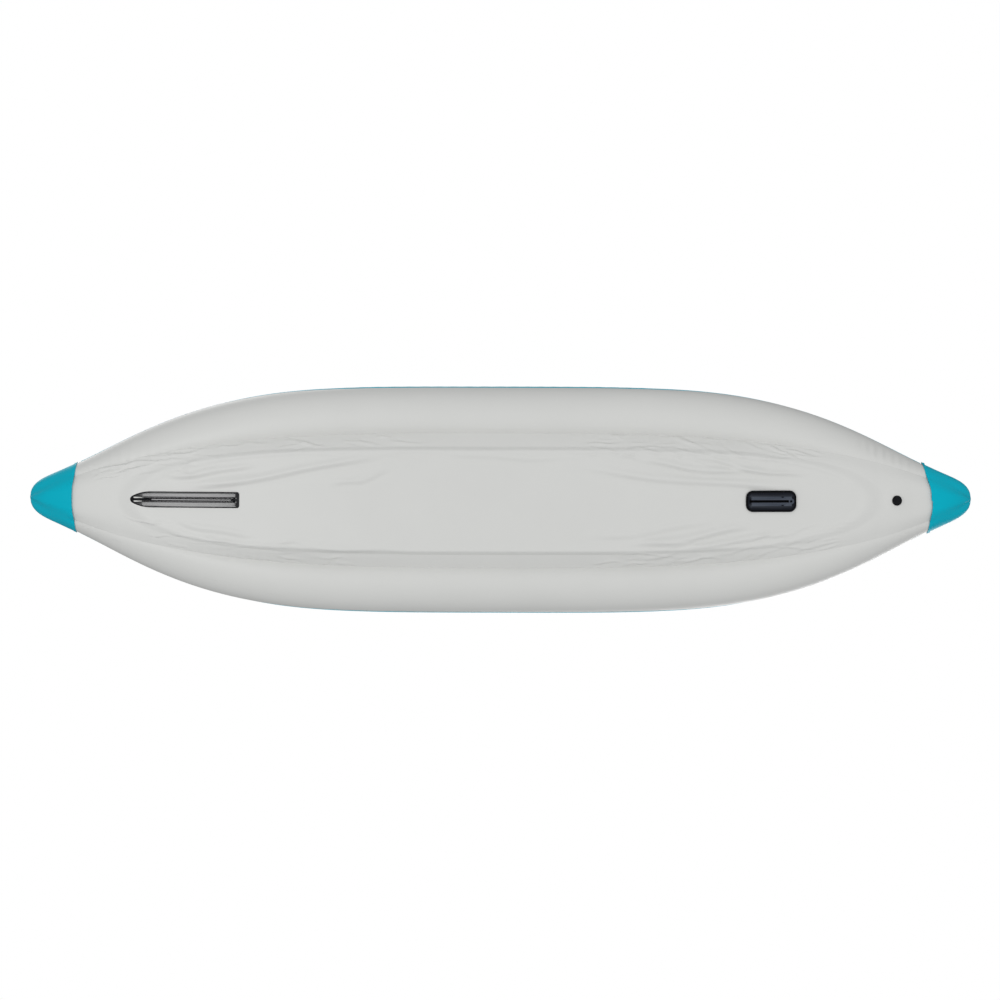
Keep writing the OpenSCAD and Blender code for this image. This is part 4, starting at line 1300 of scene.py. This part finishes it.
# From a D-ring's middle to the strap's end in it: along the boat, and down
RING_REACH, RING_DROP = 0.0165, 0.004
# The straps' width and thickness, the bend's size in the ring, and the tail that doubles back
STRAP_WIDTH, STRAP_T, LOOP_R, TAIL = 0.025, 0.0016, 0.0042, 0.115
# Shares of the way from ring to backrest, a pair for the front straps and a pair for the rear ones
FRONT_TURNS, REAR_TURNS = (0.60, 0.97), (0.0, 1.0)
# A strap's run has this many points, and its buckle sits at this one
RUN_POINTS, LOCK_AT = 60, 40


def bend_with_backrest(piece, ring_end, back_end, turn_from, turn_to):
    """Bakes the piece's placement into its mesh."""
    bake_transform(piece)


def strap_run(name, start, end, sag, width_axis, node, turns):
    """Webbing sewn to the backrest, and looped through a ring on the tube with its tail doubled back."""
    u = np.linspace(0, 1, RUN_POINTS)[:, None]
    run = start + (end - start) * u - np.array([0, 0, 1]) * sag * np.sin(np.pi * u)
    run = run + np.asarray(width_axis) * 0.0006 * np.sin(u * 23)
    heading = unit(end - start)
    lift = unit(np.cross(np.cross(heading, width_axis), heading))
    if lift[2] > 0:
        lift = -lift
    around = np.linspace(0, np.pi, 12)[:, None]
    bend = end + heading * LOOP_R * np.sin(around) + lift * LOOP_R * (1 - np.cos(around)) / 2
    back = bend[-1] - heading * np.linspace(0.004, TAIL, 26)[:, None]
    back = back - lift * np.linspace(0, 1, 26)[:, None] * STRAP_T
    path = np.concatenate([run, bend[1:], back])
    section = strap_profile(STRAP_WIDTH, STRAP_T)
    strap = make_sweep(name, path, section, width_axis, "webbing_black", body=None, stands_for=(node,))
    bend_with_backrest(strap, end, start, *turns)
    return run


def buckle(name, middle, heading, normal):
    """A ladder-lock buckle: an outer frame with two cross bars and a lifting tab."""
    side = np.cross(normal, heading)
    turn = Matrix((heading, side, normal)).transposed().to_4x4()
    matrix = Matrix.Translation(Vector(middle)) @ turn
    x, y = superellipse(40, 0.38, 0.033, 0.030)
    frame_path = np.stack([x, y, 0 * x], -1)
    across = np.linspace(-0.0145, 0.0145, 12)
    rear_bar, front_bar = [(-0.0035, y, 0) for y in across], [(0, y, 0.0006) for y in across]
    tab = [(0.019 + 0.009 * s, 0, 0.0022 * s * s) for s in np.linspace(0, 1, 10)]
    # Each rod's path, and its section's width, thickness and number of sides
    rods = {
        name: (frame_path, (0.0052, 0.0040, 14)),
        f"{name}_bar0": (rear_bar, (0.0042, 0.0034, 12)),
        f"{name}_bar1": (front_bar, (0.0042, 0.0034, 12)),
        f"{name}_tab": (tab, (0.020, 0.0028, 14)),
    }
    parts = [make_sweep(part, placed(matrix, path), strap_profile(*section), tuple(normal), "moulded_black",
                        closed=part == name, body=None)
             for part, (path, section) in rods.items()]
    return join_pieces(name, parts)


def seat_straps():
    """The backrest's straps, each running from the backrest at one end to its ring at the other."""
    for name, side in SIDES:
        start = back_place(0.250, side * 0.173, 0.028)
        end = ring_place(FRONT_RING_X, side) + np.array([-RING_REACH, 0, -RING_DROP])
        axis = np.array([0, side, 0.6]) / math.hypot(1, 0.6)
        run = strap_run(f"{name}_front_webbing", start, end, 0.014, axis, f"{name}_front_strap", FRONT_TURNS)
        heading = unit(run[LOCK_AT + 2] - run[LOCK_AT - 2])
        normal = np.cross(unit(np.cross(heading, axis)), heading)
        lock = buckle(f"{name}_ladder_lock", run[LOCK_AT], heading, normal)
        bend_with_backrest(lock, end, start, *FRONT_TURNS)
        if side == PORT:
            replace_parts(lock, "strap_buckles")
        start = back_place(0.330, side * 0.120, 0.0565)
        end = ring_place(REAR_RING_X, side) + np.array([RING_REACH, 0, -RING_DROP])
        axis = np.array([0, 0, 1.0])
        strap_run(f"{name}_rear_webbing", start, end, 0.004, axis, f"{name}_rear_strap", REAR_TURNS)

    # Squares of webbing that sew the straps to the backrest
    for name, side in SIDES:
        for part, up, out, behind, normal, size in (
                ("side", 0.250, side * 0.1655, 0.028, (0, side, 0), (0.052, 0.030)),
                ("rear", 0.325, side * 0.120, 0.0555, (-1, 0, 0), (0.046, 0.040))):
            middle, face = Vector((-behind, out, up)), Vector(normal)
            path = [middle + Vector((0, 0, size[0] * (s - 0.5))) + face * 0.0016 * math.sin(math.pi * s)
                    for s in np.linspace(0, 1, 16)]
            make_sweep(f"{name}_{part}_tab", placed(BACK, path), strap_profile(size[1], 0.0018),
                       tuple(BACK.to_3x3() @ face), "webbing_black", body="backrest")


def ring_patches():
    """Welded patches and folded tabs that hold the D-rings on the tubes."""
    made = []
    for x, toward in ((FRONT_RING_X, -1), (REAR_RING_X, 1)):
        for name, side in SIDES:
            where = "front" if toward < 0 else "rear"
            label = f"{name}_{where}_ring"
            under = on_tube(x - toward * 0.020, 90, side)
            made.append(make_patch(f"{label}_patch", under, 0.078, 0.056, height=0.0018, power=0.7))
            bar = ring_place(x, side) - np.array([toward * 0.014, 0, 0.0045])
            even = np.linspace(0, 1, 10)
            # The tab's path from its middle, forward of the bar and up: in under it, round it and back
            path = [(0.030 * s - 0.030, 0.0012 * s - 0.0060) for s in even]
            path += [(0.0034 * math.sin(a), -0.0034 * math.cos(a)) for a in np.linspace(0.35, 2.7, 12)]
            path += [(-0.030 * s - 0.002, 0.0006 - 0.0040 * s) for s in even]
            path = bar + np.array([(toward * forward, 0, up) for forward, up in path])
            made.append(make_sweep(f"{label}_tab", even_path(path, 0.002), strap_profile(0.022, 0.0018),
                                   (0, 0, 1), "patch_charcoal"))
    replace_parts(made[0], "d_ring_patches")


# ---------------------------------------------------------------- underside fittings


def keel_strip():
    """Gloss black runner: a domed foot with a rolled edge, and a blade between two grooves."""
    low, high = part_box("bow_keel_strip")
    length, half_width = high.x - low.x, high.y
    u = np.linspace(0, 1, 120)[:, None]
    u = u - 0.04 * np.sin(2 * np.pi * u)
    v = np.linspace(-1, 1, 97)[None]
    nose = np.sqrt(np.clip(1 - (np.maximum(0, u - 0.80) / 0.2) ** 2, 0.0009, 1))
    heel = np.sqrt(np.clip(1 - (np.maximum(0, 0.018 - u) / 0.018) ** 2 * 0.45, 0, 1))
    width = half_width * nose * heel
    y = v * width
    x = low.x + length * u
    end_fall = np.minimum(u * length / 0.013, (1 - u) * length / 0.050 + 0.05)
    edge_fall = np.minimum(1, np.minimum((1 - np.abs(v)) * width / 0.004, end_fall))
    foot = 0.0034 * np.sqrt(np.clip(1 - (1 - edge_fall) ** 2, 0, 1)) + 0.0003 * (1 - v * v) * edge_fall
    rim = 0.0004 * swell((1 - np.abs(v)) * width - 0.0045, 0.0016) * edge_fall
    blade_run = smooth_step(u, 0.030, 0.065) * np.clip((0.975 - u) / 0.175, 0, 1)
    blade = 0.0110 * swell(y, 0.0036, 10) * blade_run
    grooves = 0.0032 * swell(np.abs(y) - 0.0066, 0.0022, 4) * window(u, 0.045, 0.955, 0.02)
    out = np.maximum(0.0004, foot + rim + blade - grooves * edge_fall)
    slope = np.array([keel_slope(value) for value in x[:, 0]])[:, None]
    away = np.sqrt(1 + slope**2)
    z = bottom_z(x) - 0.0002 - out / away
    points = np.stack(np.broadcast_arrays(x + out * slope / away, y, z), -1)
    make_sheet("keel_runner", points, np.array([0, 0, -1.0]), "moulded_black", thickness=0.0012,
               stands_for=("bow_keel_strip",), sharp=60)


def soften(node, width=0.0006):
    """Rounds the edges of a CAD node."""
    bevel = frame["nodes"][node].modifiers.new("rounded_edges", "BEVEL")
    bevel.width = width
    bevel.segments = 2
    bevel.limit_method = "ANGLE"
    bevel.angle_limit = math.radians(35)


def dress_cad_nodes():
    """Every CAD node that stays in view takes its slot's procedural finish."""
    slots = {part["node"]: part["material_slot"] for part in frame["record"]["subparts"]}
    for node, piece in frame["nodes"].items():
        for index in range(len(piece.material_slots)):
            piece.material_slots[index].material = materials[slots[node]]
    # The fin box takes a finish with painted shade and highlight by height
    frame["nodes"]["fin_box"].material_slots[0].material = fin_box_painted_light()
    for node in ("fin_box", "drain_plug", "drain_seat", "bow_handle_anchors", "stern_handle_anchors"):
        soften(node)
    for name in VALVES:
        soften(f"{name}_valve_body", 0.0008)
        soften(f"{name}_valve_cap", 0.0008)
    for name, _ in SIDES:
        soften(f"{name}_zip_slider", 0.0005)


# ---------------------------------------------------------------- handles, cords and zips


# The pivot's place along the boat and its height over the deck, the grip's reach from it, and half
# the distance between the two strips of webbing
HANDLE_X, HANDLE_UP, GRIP_REACH, STRIP_Y = 1.385, 0.014, 0.062, 0.055


def handle_frame(end):
    """The handle's own frame: pivot line along y, the boat's tip at local +x."""
    top = deck_point(HANDLE_X, 0.0)[2]
    lean = math.atan2(top - deck_point(HANDLE_X - GRIP_REACH, 0.0)[2], GRIP_REACH)
    turn = Matrix.Rotation(0 if end == BOW else math.pi, 4, "Z") @ Matrix.Rotation(-lean, 4, "Y")
    return Matrix.Translation((end * HANDLE_X, 0, top + HANDLE_UP)) @ turn


def carry_handle(name, end):
    """Ribbed rubber grip on rolled webbing, whose ends loop round the pivot bars."""
    matrix = handle_frame(end)
    body = f"{name}_handle"
    along_y = matrix @ Matrix.Translation((-GRIP_REACH, 0, 0.004)) @ Matrix.Rotation(math.pi / 2, 4, "X")
    heights = np.linspace(-0.0445, 0.0445, 90)
    ends = np.minimum(1, (0.0452 - np.abs(heights)) / 0.004)
    ribs = 0.0007 * np.cos(2 * np.pi * heights / 0.0065) * smooth_step(0.036 - np.abs(heights), 0, 0.002)
    flare = 0.0012 * smooth_step(np.abs(heights), 0.036, 0.040)
    radius = 0.0062 + (0.0024 + ribs + flare) * np.sqrt(np.clip(1 - (1 - ends) ** 2, 0, 1))
    inner = [(0.0056, h) for h in (0.0440, 0.02, -0.02, -0.0440)]
    angle = full_turn(40)
    profile = [*zip(radius, heights), *inner]
    rings = [[(r * math.cos(a), r * math.sin(a), h) for a in angle] for r, h in profile]
    verts = placed(along_y, np.array(rings).reshape(-1, 3))
    make_piece(f"{name}_grip", verts, hoop_faces(len(rings), 40), "grip_rubber", body=body,
               stands_for=(f"{name}_handle_grip",), sharp=35)

    up, across, ahead = (tuple(matrix.to_3x3() @ Vector(axis)) for axis in ((0, 0, 1), (0, 1, 0), (1, 0, 0)))
    parts = []
    for k, side in enumerate((PORT, STARBOARD)):
        y = side * STRIP_Y
        loop = [(0.0034 * math.sin(a), y, -0.0034 * math.cos(a) + 0.0001)
                for a in np.linspace(0.15, math.pi, 14)]
        upper = [(-0.004 - 0.058 * s, y, 0.0034 + 0.0034 * math.sin(math.pi * s) + 0.0018 * s)
                 for s in np.linspace(0, 1, 26)]
        lower = [(-0.030 + 0.028 * s, y, 0.0042 - 0.0072 * s) for s in np.linspace(0, 1, 12)]
        path = placed(matrix, even_path(lower + loop + upper, 0.0022))
        section = strap_profile(0.016, 0.0019)[:, ::-1]
        parts.append(make_sweep(f"{name}_strip{k}", path, section, across, "webbing_black", body=None))
        # The webbing's fold round the end of the grip
        fold = placed(matrix, [(-GRIP_REACH, y - side * 0.011 + side * 0.019 * s, 0.004)
                               for s in np.linspace(0, 1, 14)])
        fullness = np.sqrt(np.clip(1 - np.linspace(-1, 1, 14) ** 6, 0.05, 1))
        parts.append(make_sweep(f"{name}_fold{k}", fold, round_profile(0.0082, 20), up, "webbing_black",
                                fullness=fullness, body=None))
    core = placed(matrix, [(-GRIP_REACH, y, 0.004) for y in np.linspace(-0.05, 0.05, 30)])
    parts.append(make_sweep(f"{name}_core", core, round_profile(0.0050, 16), ahead, "webbing_black",
                            body=None))
    web = join_pieces(f"{name}_handle_web", parts)
    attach(web, body)
    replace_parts(web, f"{name}_handle_webbing")
    for k, side in enumerate((PORT, STARBOARD)):
        place = on_deck(end * HANDLE_X, side * STRIP_Y / tube_point(HANDLE_X, RIM_DEG)[1], end)
        make_patch(f"{name}_handle_patch{k}", place, 0.082, 0.050, height=0.0020, power=0.7)


# The cord's radius, its height over the deck, and the points in each of its four runs
CORD_R, CORD_UP, CORD_STEPS = 0.0030, 0.0072, 48


def deck_cord(name, end, edge):
    """One elastic cord laced in a cross between four loops, tied off with a barrel knot."""
    # Each corner's place along the boat, its share of the way out to the rim, and which way its loop pulls
    near, far = (edge + 0.190, 0.62, -0.016), (edge + 0.470, 0.50, 0.016)
    flat = []
    for (x, v, outward), side in ((near, 1), (far, -1), (far, 1), (near, -1)):
        flat.append((x + outward * 0.55, side * (v * tube_point(x, RIM_DEG)[1] + 0.012)))
    path, lift = [], []
    for k in range(4):
        a, b = np.array(flat[k]), np.array(flat[(k + 1) % 4])
        for s in np.linspace(0, 1, CORD_STEPS, endpoint=False):
            path.append(a + (b - a) * s)
            # The third run passes over the first
            high = CORD_UP * (1 + swell(s - 0.5, 0.12)) if k == 2 else CORD_UP
            lift.append(0.0046 + (high - 0.0046) * min(1, 8 * s, 8 * (1 - s)))
    path, lift = smoothed(np.array(path), 10), smoothed(np.array(lift), 10)
    points = deck_point(path[:, 0], path[:, 1] / tube_point(path[:, 0], RIM_DEG)[:, 1])
    points[:, 2] += lift + DECK_LIFT - 0.0004
    points[:, 0] *= end
    make_sweep(f"{name}_lacing", points, round_profile(CORD_R, 12), (0, 0, 1), "cord_black", closed=True,
               stands_for=(f"{name}_bungee",))
    turns = 4
    angle = np.linspace(0, 2 * math.pi * turns, 70)
    along_knot = (angle / (2 * math.pi * turns) - 0.5) * 0.024
    coil = np.stack([0.0052 * np.cos(angle), along_knot, 0.0052 * np.sin(angle) + 0.0012], -1)
    knot = points[CORD_STEPS * 3 // 2] + coil
    make_sweep(f"{name}_knot", knot, round_profile(0.0026, 10), (0, 1, 0.3), "cord_black")

    pieces = []
    for k, ((x, v, outward), side) in enumerate(((near, -1), (near, 1), (far, -1), (far, 1))):
        rim = tube_point(x, RIM_DEG)[1]
        place = on_deck(end * x, side * (v + 0.012 / rim), end)
        pieces.append(make_patch(f"{name}_loop_patch{k}", place, 0.058, 0.044, height=0.0018, power=0.75))
        away = points[:, :2] - (end * (x + outward * 0.4), side * (v * rim + 0.010))
        cord_at = points[np.argmin(np.hypot(*away.T))]
        lean = unit(np.array([end * outward, side * 0.020, 0]))
        arch = [cord_at + lean * 0.0125 * math.cos(a) + np.array([0, 0, 0.0062 * math.sin(a) - 0.0015])
                for a in np.linspace(-0.25, math.pi + 0.25, 26)]
        across = tuple(np.cross(lean, (0, 0, 1)))
        section = strap_profile(0.012, 0.0014)[:, ::-1]
        pieces.append(make_sweep(f"{name}_loop{k}", arch, section, across, "webbing_black"))
    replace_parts(pieces[0], f"{name}_bungee_loops")


ZIP_HALF, ZIP_DEG, TOOTH_PITCH = 0.330, 118.0, 0.0028


def zips():
    """Woven tapes with a closed row of moulded teeth."""
    turn = math.radians(ZIP_DEG)
    xs = np.linspace(-ZIP_HALF, ZIP_HALF, 90)[:, None]
    v = np.linspace(-1, 1, 17)[None]
    section = [(-1, 0), (-0.75, 0.75), (-0.2, 1), (0.2, 1), (0.75, 0.75), (1, 0)]
    for name, side in SIDES:
        normal = np.array([0, side * math.cos(turn), math.sin(turn)])
        across = np.array([0, -side * math.sin(turn), math.cos(turn)])
        base = tube_point(0.0, ZIP_DEG) * np.array([0, side, 1])
        drop = 0.0017 - 0.0004 * v * v + 0.0003 * np.sin(xs * 60) * np.abs(v)
        tape = base + normal * (drop[..., None] + 0.0010) + across * (v * 0.0085)[..., None]
        tape = tape + np.stack(np.broadcast_arrays(xs, 0 * xs, 0 * xs), -1)
        uv = np.stack(np.broadcast_arrays(xs, v * 0.0085), -1).reshape(-1, 2)
        uv = np.concatenate([uv, uv])
        make_sheet(f"{name}_zip_tape", tape, normal, "zip_black", thickness=0.0009, uv=uv,
                   stands_for=(f"{name}_zip",))
        verts, faces = [], []
        for k in range(int(2 * ZIP_HALF / TOOTH_PITCH)):
            x = -ZIP_HALF + 0.003 + k * TOOTH_PITCH
            shift = 0.0007 * (1 if k % 2 else -1)
            start = len(verts)
            for dx, shrink in ((-0.0010, 0.8), (-0.0006, 1), (0.0006, 1), (0.0010, 0.8)):
                for q, h in section:
                    point = base + across * (shift + q * 0.0017 * shrink)
                    point = point + normal * (0.0026 + h * 0.0024 * shrink)
                    verts.append(point + np.array([x + dx, 0, 0]))
            faces += grid_faces(4, 6, wrap=True, start=start)
            faces.append(tuple(start + j for j in range(5, -1, -1)))
            faces.append(tuple(start + 18 + j for j in range(6)))
        make_piece(f"{name}_zip_teeth", verts, faces, "slider_metal", sharp=30)


# Places of the side valves and the floor valve along the boat
SIDE_VALVE_X, FLOOR_VALVE_X = -0.600, -0.690


def valve_springs():
    """Steel coils, open at the ends, that shorten as the valve's stem is pushed."""
    wire, turns = 0.00045, 3
    share = np.linspace(0, 1, 150)
    angle = 2 * np.pi * turns * share
    for name in VALVES:
        node = f"{name}_valve_spring"
        low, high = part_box(node)
        foot = np.array([(low.x + high.x) / 2, (low.y + high.y) / 2, low.z])
        tall = high.z - low.z
        radius = (high.x - low.x) / 2 - wire
        rise = wire + (tall - 2 * wire) * smooth_step(share, -0.04, 1.04)
        coil = foot + np.stack([radius * np.cos(angle), radius * np.sin(angle), rise], -1)
        piece = make_sweep(f"{name}_coil", coil, round_profile(wire, 8), (0, 0, 1), "spring_steel",
                           stands_for=(node,))
        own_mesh(piece)


def valve_patches():
    """A welded ring under each valve's flange."""
    def on_floor(dx, dy):
        x = FLOOR_VALVE_X + dx
        z = keel_z(x) + FLOOR_GAP + FLOOR_T + 0.0003
        return np.stack(np.broadcast_arrays(x, dy, z), -1)

    places = {name: on_tube(SIDE_VALVE_X, 90, side, 0.0004) for name, side in SIDES}
    places["floor"] = on_floor
    for name, place in places.items():
        make_patch(f"{name}_valve_ring", place, 0.092, 0.092, power=1.0, hole=0.30)


# ---------------------------------------------------------------- stage


AMBIENT, MIRRORED = 0.575, 0.10


def white_world():
    """White behind the boat, soft light on it, and dim surroundings in its reflections."""
    world = bpy.data.worlds.new("studio")
    bpy.context.scene.world = world
    nodes = Nodes(world)
    nodes.tree.nodes.clear()
    path = nodes.node("ShaderNodeLightPath")
    looks = (((1, 1, 1), 1), ((0.97, 0.985, 1), AMBIENT), ((0.8, 0.8, 0.8), MIRRORED))
    backgrounds = [nodes.node("ShaderNodeBackground", Color=(*color, 1), Strength=strength)
                   for color, strength in looks]
    seen, ambient, mirrored = (background.outputs[0] for background in backgrounds)
    unseen = nodes.mix_shader(path.outputs["Is Glossy Ray"], ambient, mirrored)
    surface = nodes.mix_shader(path.outputs["Is Camera Ray"], unseen, seen)
    nodes.link(surface, nodes.node("ShaderNodeOutputWorld").inputs["Surface"])


def pale_floor():
    """A floor that shows from above, and lets the view and the light through from below."""
    size = 90.0
    verts = [(-size, -size, 0), (size, -size, 0), (size, size, 0), (-size, size, 0)]
    mesh = bpy.data.meshes.new("studio_floor")
    mesh.from_pydata(verts, [], [(0, 1, 2, 3)])
    floor = bpy.data.objects.new("studio_floor", mesh)
    floor.location.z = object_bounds()[0].z - 0.0005
    bpy.context.scene.collection.objects.link(floor)
    finish = Shader("pale_floor", (0.76, 0.76, 0.76), 0.8)
    finish.bsdf.inputs["Emission Color"].default_value = (1, 1, 1, 1)
    finish.bsdf.inputs["Emission Strength"].default_value = 0.24
    path = finish.node("ShaderNodeLightPath")
    geometry = finish.node("ShaderNodeNewGeometry")
    # The camera sees the floor's upper face only, and no other ray meets it
    front = finish.math("SUBTRACT", path.outputs["Is Camera Ray"], geometry.outputs["Backfacing"])
    front.node.use_clamp = True
    clear = finish.node("ShaderNodeBsdfTransparent")
    surface = finish.mix_shader(front, clear.outputs[0], finish.bsdf.outputs[0])
    finish.link(surface, finish.tree.nodes["Material Output"].inputs["Surface"])
    mesh.materials.append(finish.material)
    floor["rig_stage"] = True


def softbox(name, place, size, watts, aim=(0, 0, 0), lights=True, shines=True):
    """A lamp that lights matt surfaces, or shows in glossy ones, or both."""
    lamp = bpy.data.lights.new(name, "AREA")
    lamp.shape = "RECTANGLE"
    lamp.size, lamp.size_y = size
    lamp.energy = watts
    holder = bpy.data.objects.new(name, lamp)
    holder.location = place
    holder.rotation_euler = (Vector(aim) - Vector(place)).to_track_quat("-Z", "Y").to_euler()
    holder.visible_camera = False
    holder.visible_diffuse = lights
    holder.visible_glossy = shines
    bpy.context.scene.collection.objects.link(holder)


def studio():
    """Lamps below the boat for the photo's view, and above it for the others."""
    bpy.context.scene.view_settings.view_transform = "Standard"
    white_world()
    pale_floor()
    softbox("front_below", (0.0, 0.3, -6.0), (9.0, 7.0), 42)
    softbox("side_below", (0.8, 4.6, -2.4), (5.0, 2.0), 9)
    softbox("stern_below", (-3.0, 0.1, -4.6), (2.4, 0.9), 82, aim=(-4.5, 0, 0), shines=False)
    softbox("bow_below", (3.0, 0.2, -4.6), (2.4, 0.9), 88, aim=(4.5, 0, 0), shines=False)
    softbox("bow_shine", (3.05, 0.35, -4.8), (2.6, 1.5), 62, aim=(1.1, 0, 0), lights=False)
    softbox("stern_shine", (-2.35, 0.55, -4.8), (2.0, 1.2), 5, aim=(-0.95, 0, 0), lights=False)
    softbox("key_above", (-1.5, -1.9, 4.6), (3.5, 2.5), 110)
    softbox("rim_above", (2.0, 2.1, 4.2), (3.0, 2.0), 60)


VIEW_TILT, VIEW_ROLL = math.radians(2.0), math.radians(0.13)
# The share of the picture's width that the boat takes up, and the point aimed at
VIEW_FILL, VIEW_AIM = 0.9435, (0.0018, -0.0014, TUBE_MID_Z)


def camera():
    """Up at the bottom from far away, a little to port of straight below, with the bow on the left."""
    lens = bpy.data.cameras.new("main")
    lens.lens = 600
    lens.sensor_width = 36
    lens.clip_start, lens.clip_end = 1, 400
    distance = HALF_LEN * 2 / VIEW_FILL * lens.lens / lens.sensor_width
    holder = bpy.data.objects.new("main", lens)
    aim = Matrix.Translation(VIEW_AIM) @ Matrix.Rotation(VIEW_TILT, 4, "X")
    upward = Matrix.Rotation(math.pi, 4, "Z") @ Matrix.Rotation(math.pi, 4, "X")
    roll = Matrix.Rotation(VIEW_ROLL, 4, "Z")
    holder.matrix_world = aim @ upward @ roll @ Matrix.Translation((0, 0, distance))
    bpy.context.scene.collection.objects.link(holder)
    bpy.context.scene.camera = holder


hull_bottom()
side_covers()
inner_liners()
decks()
end_caps()
air_chambers()
trims()
floor_mat()
keel_strip()
seat()
footrest()
seat_straps()
ring_patches()
for end_name, end_side in ENDS:
    carry_handle(end_name, end_side)
deck_cord("bow", BOW, BOW_DECK_X)
deck_cord("stern", STERN, STERN_DECK_X - 0.060)
zips()
valve_springs()
valve_patches()
dress_cad_nodes()
studio()
camera()
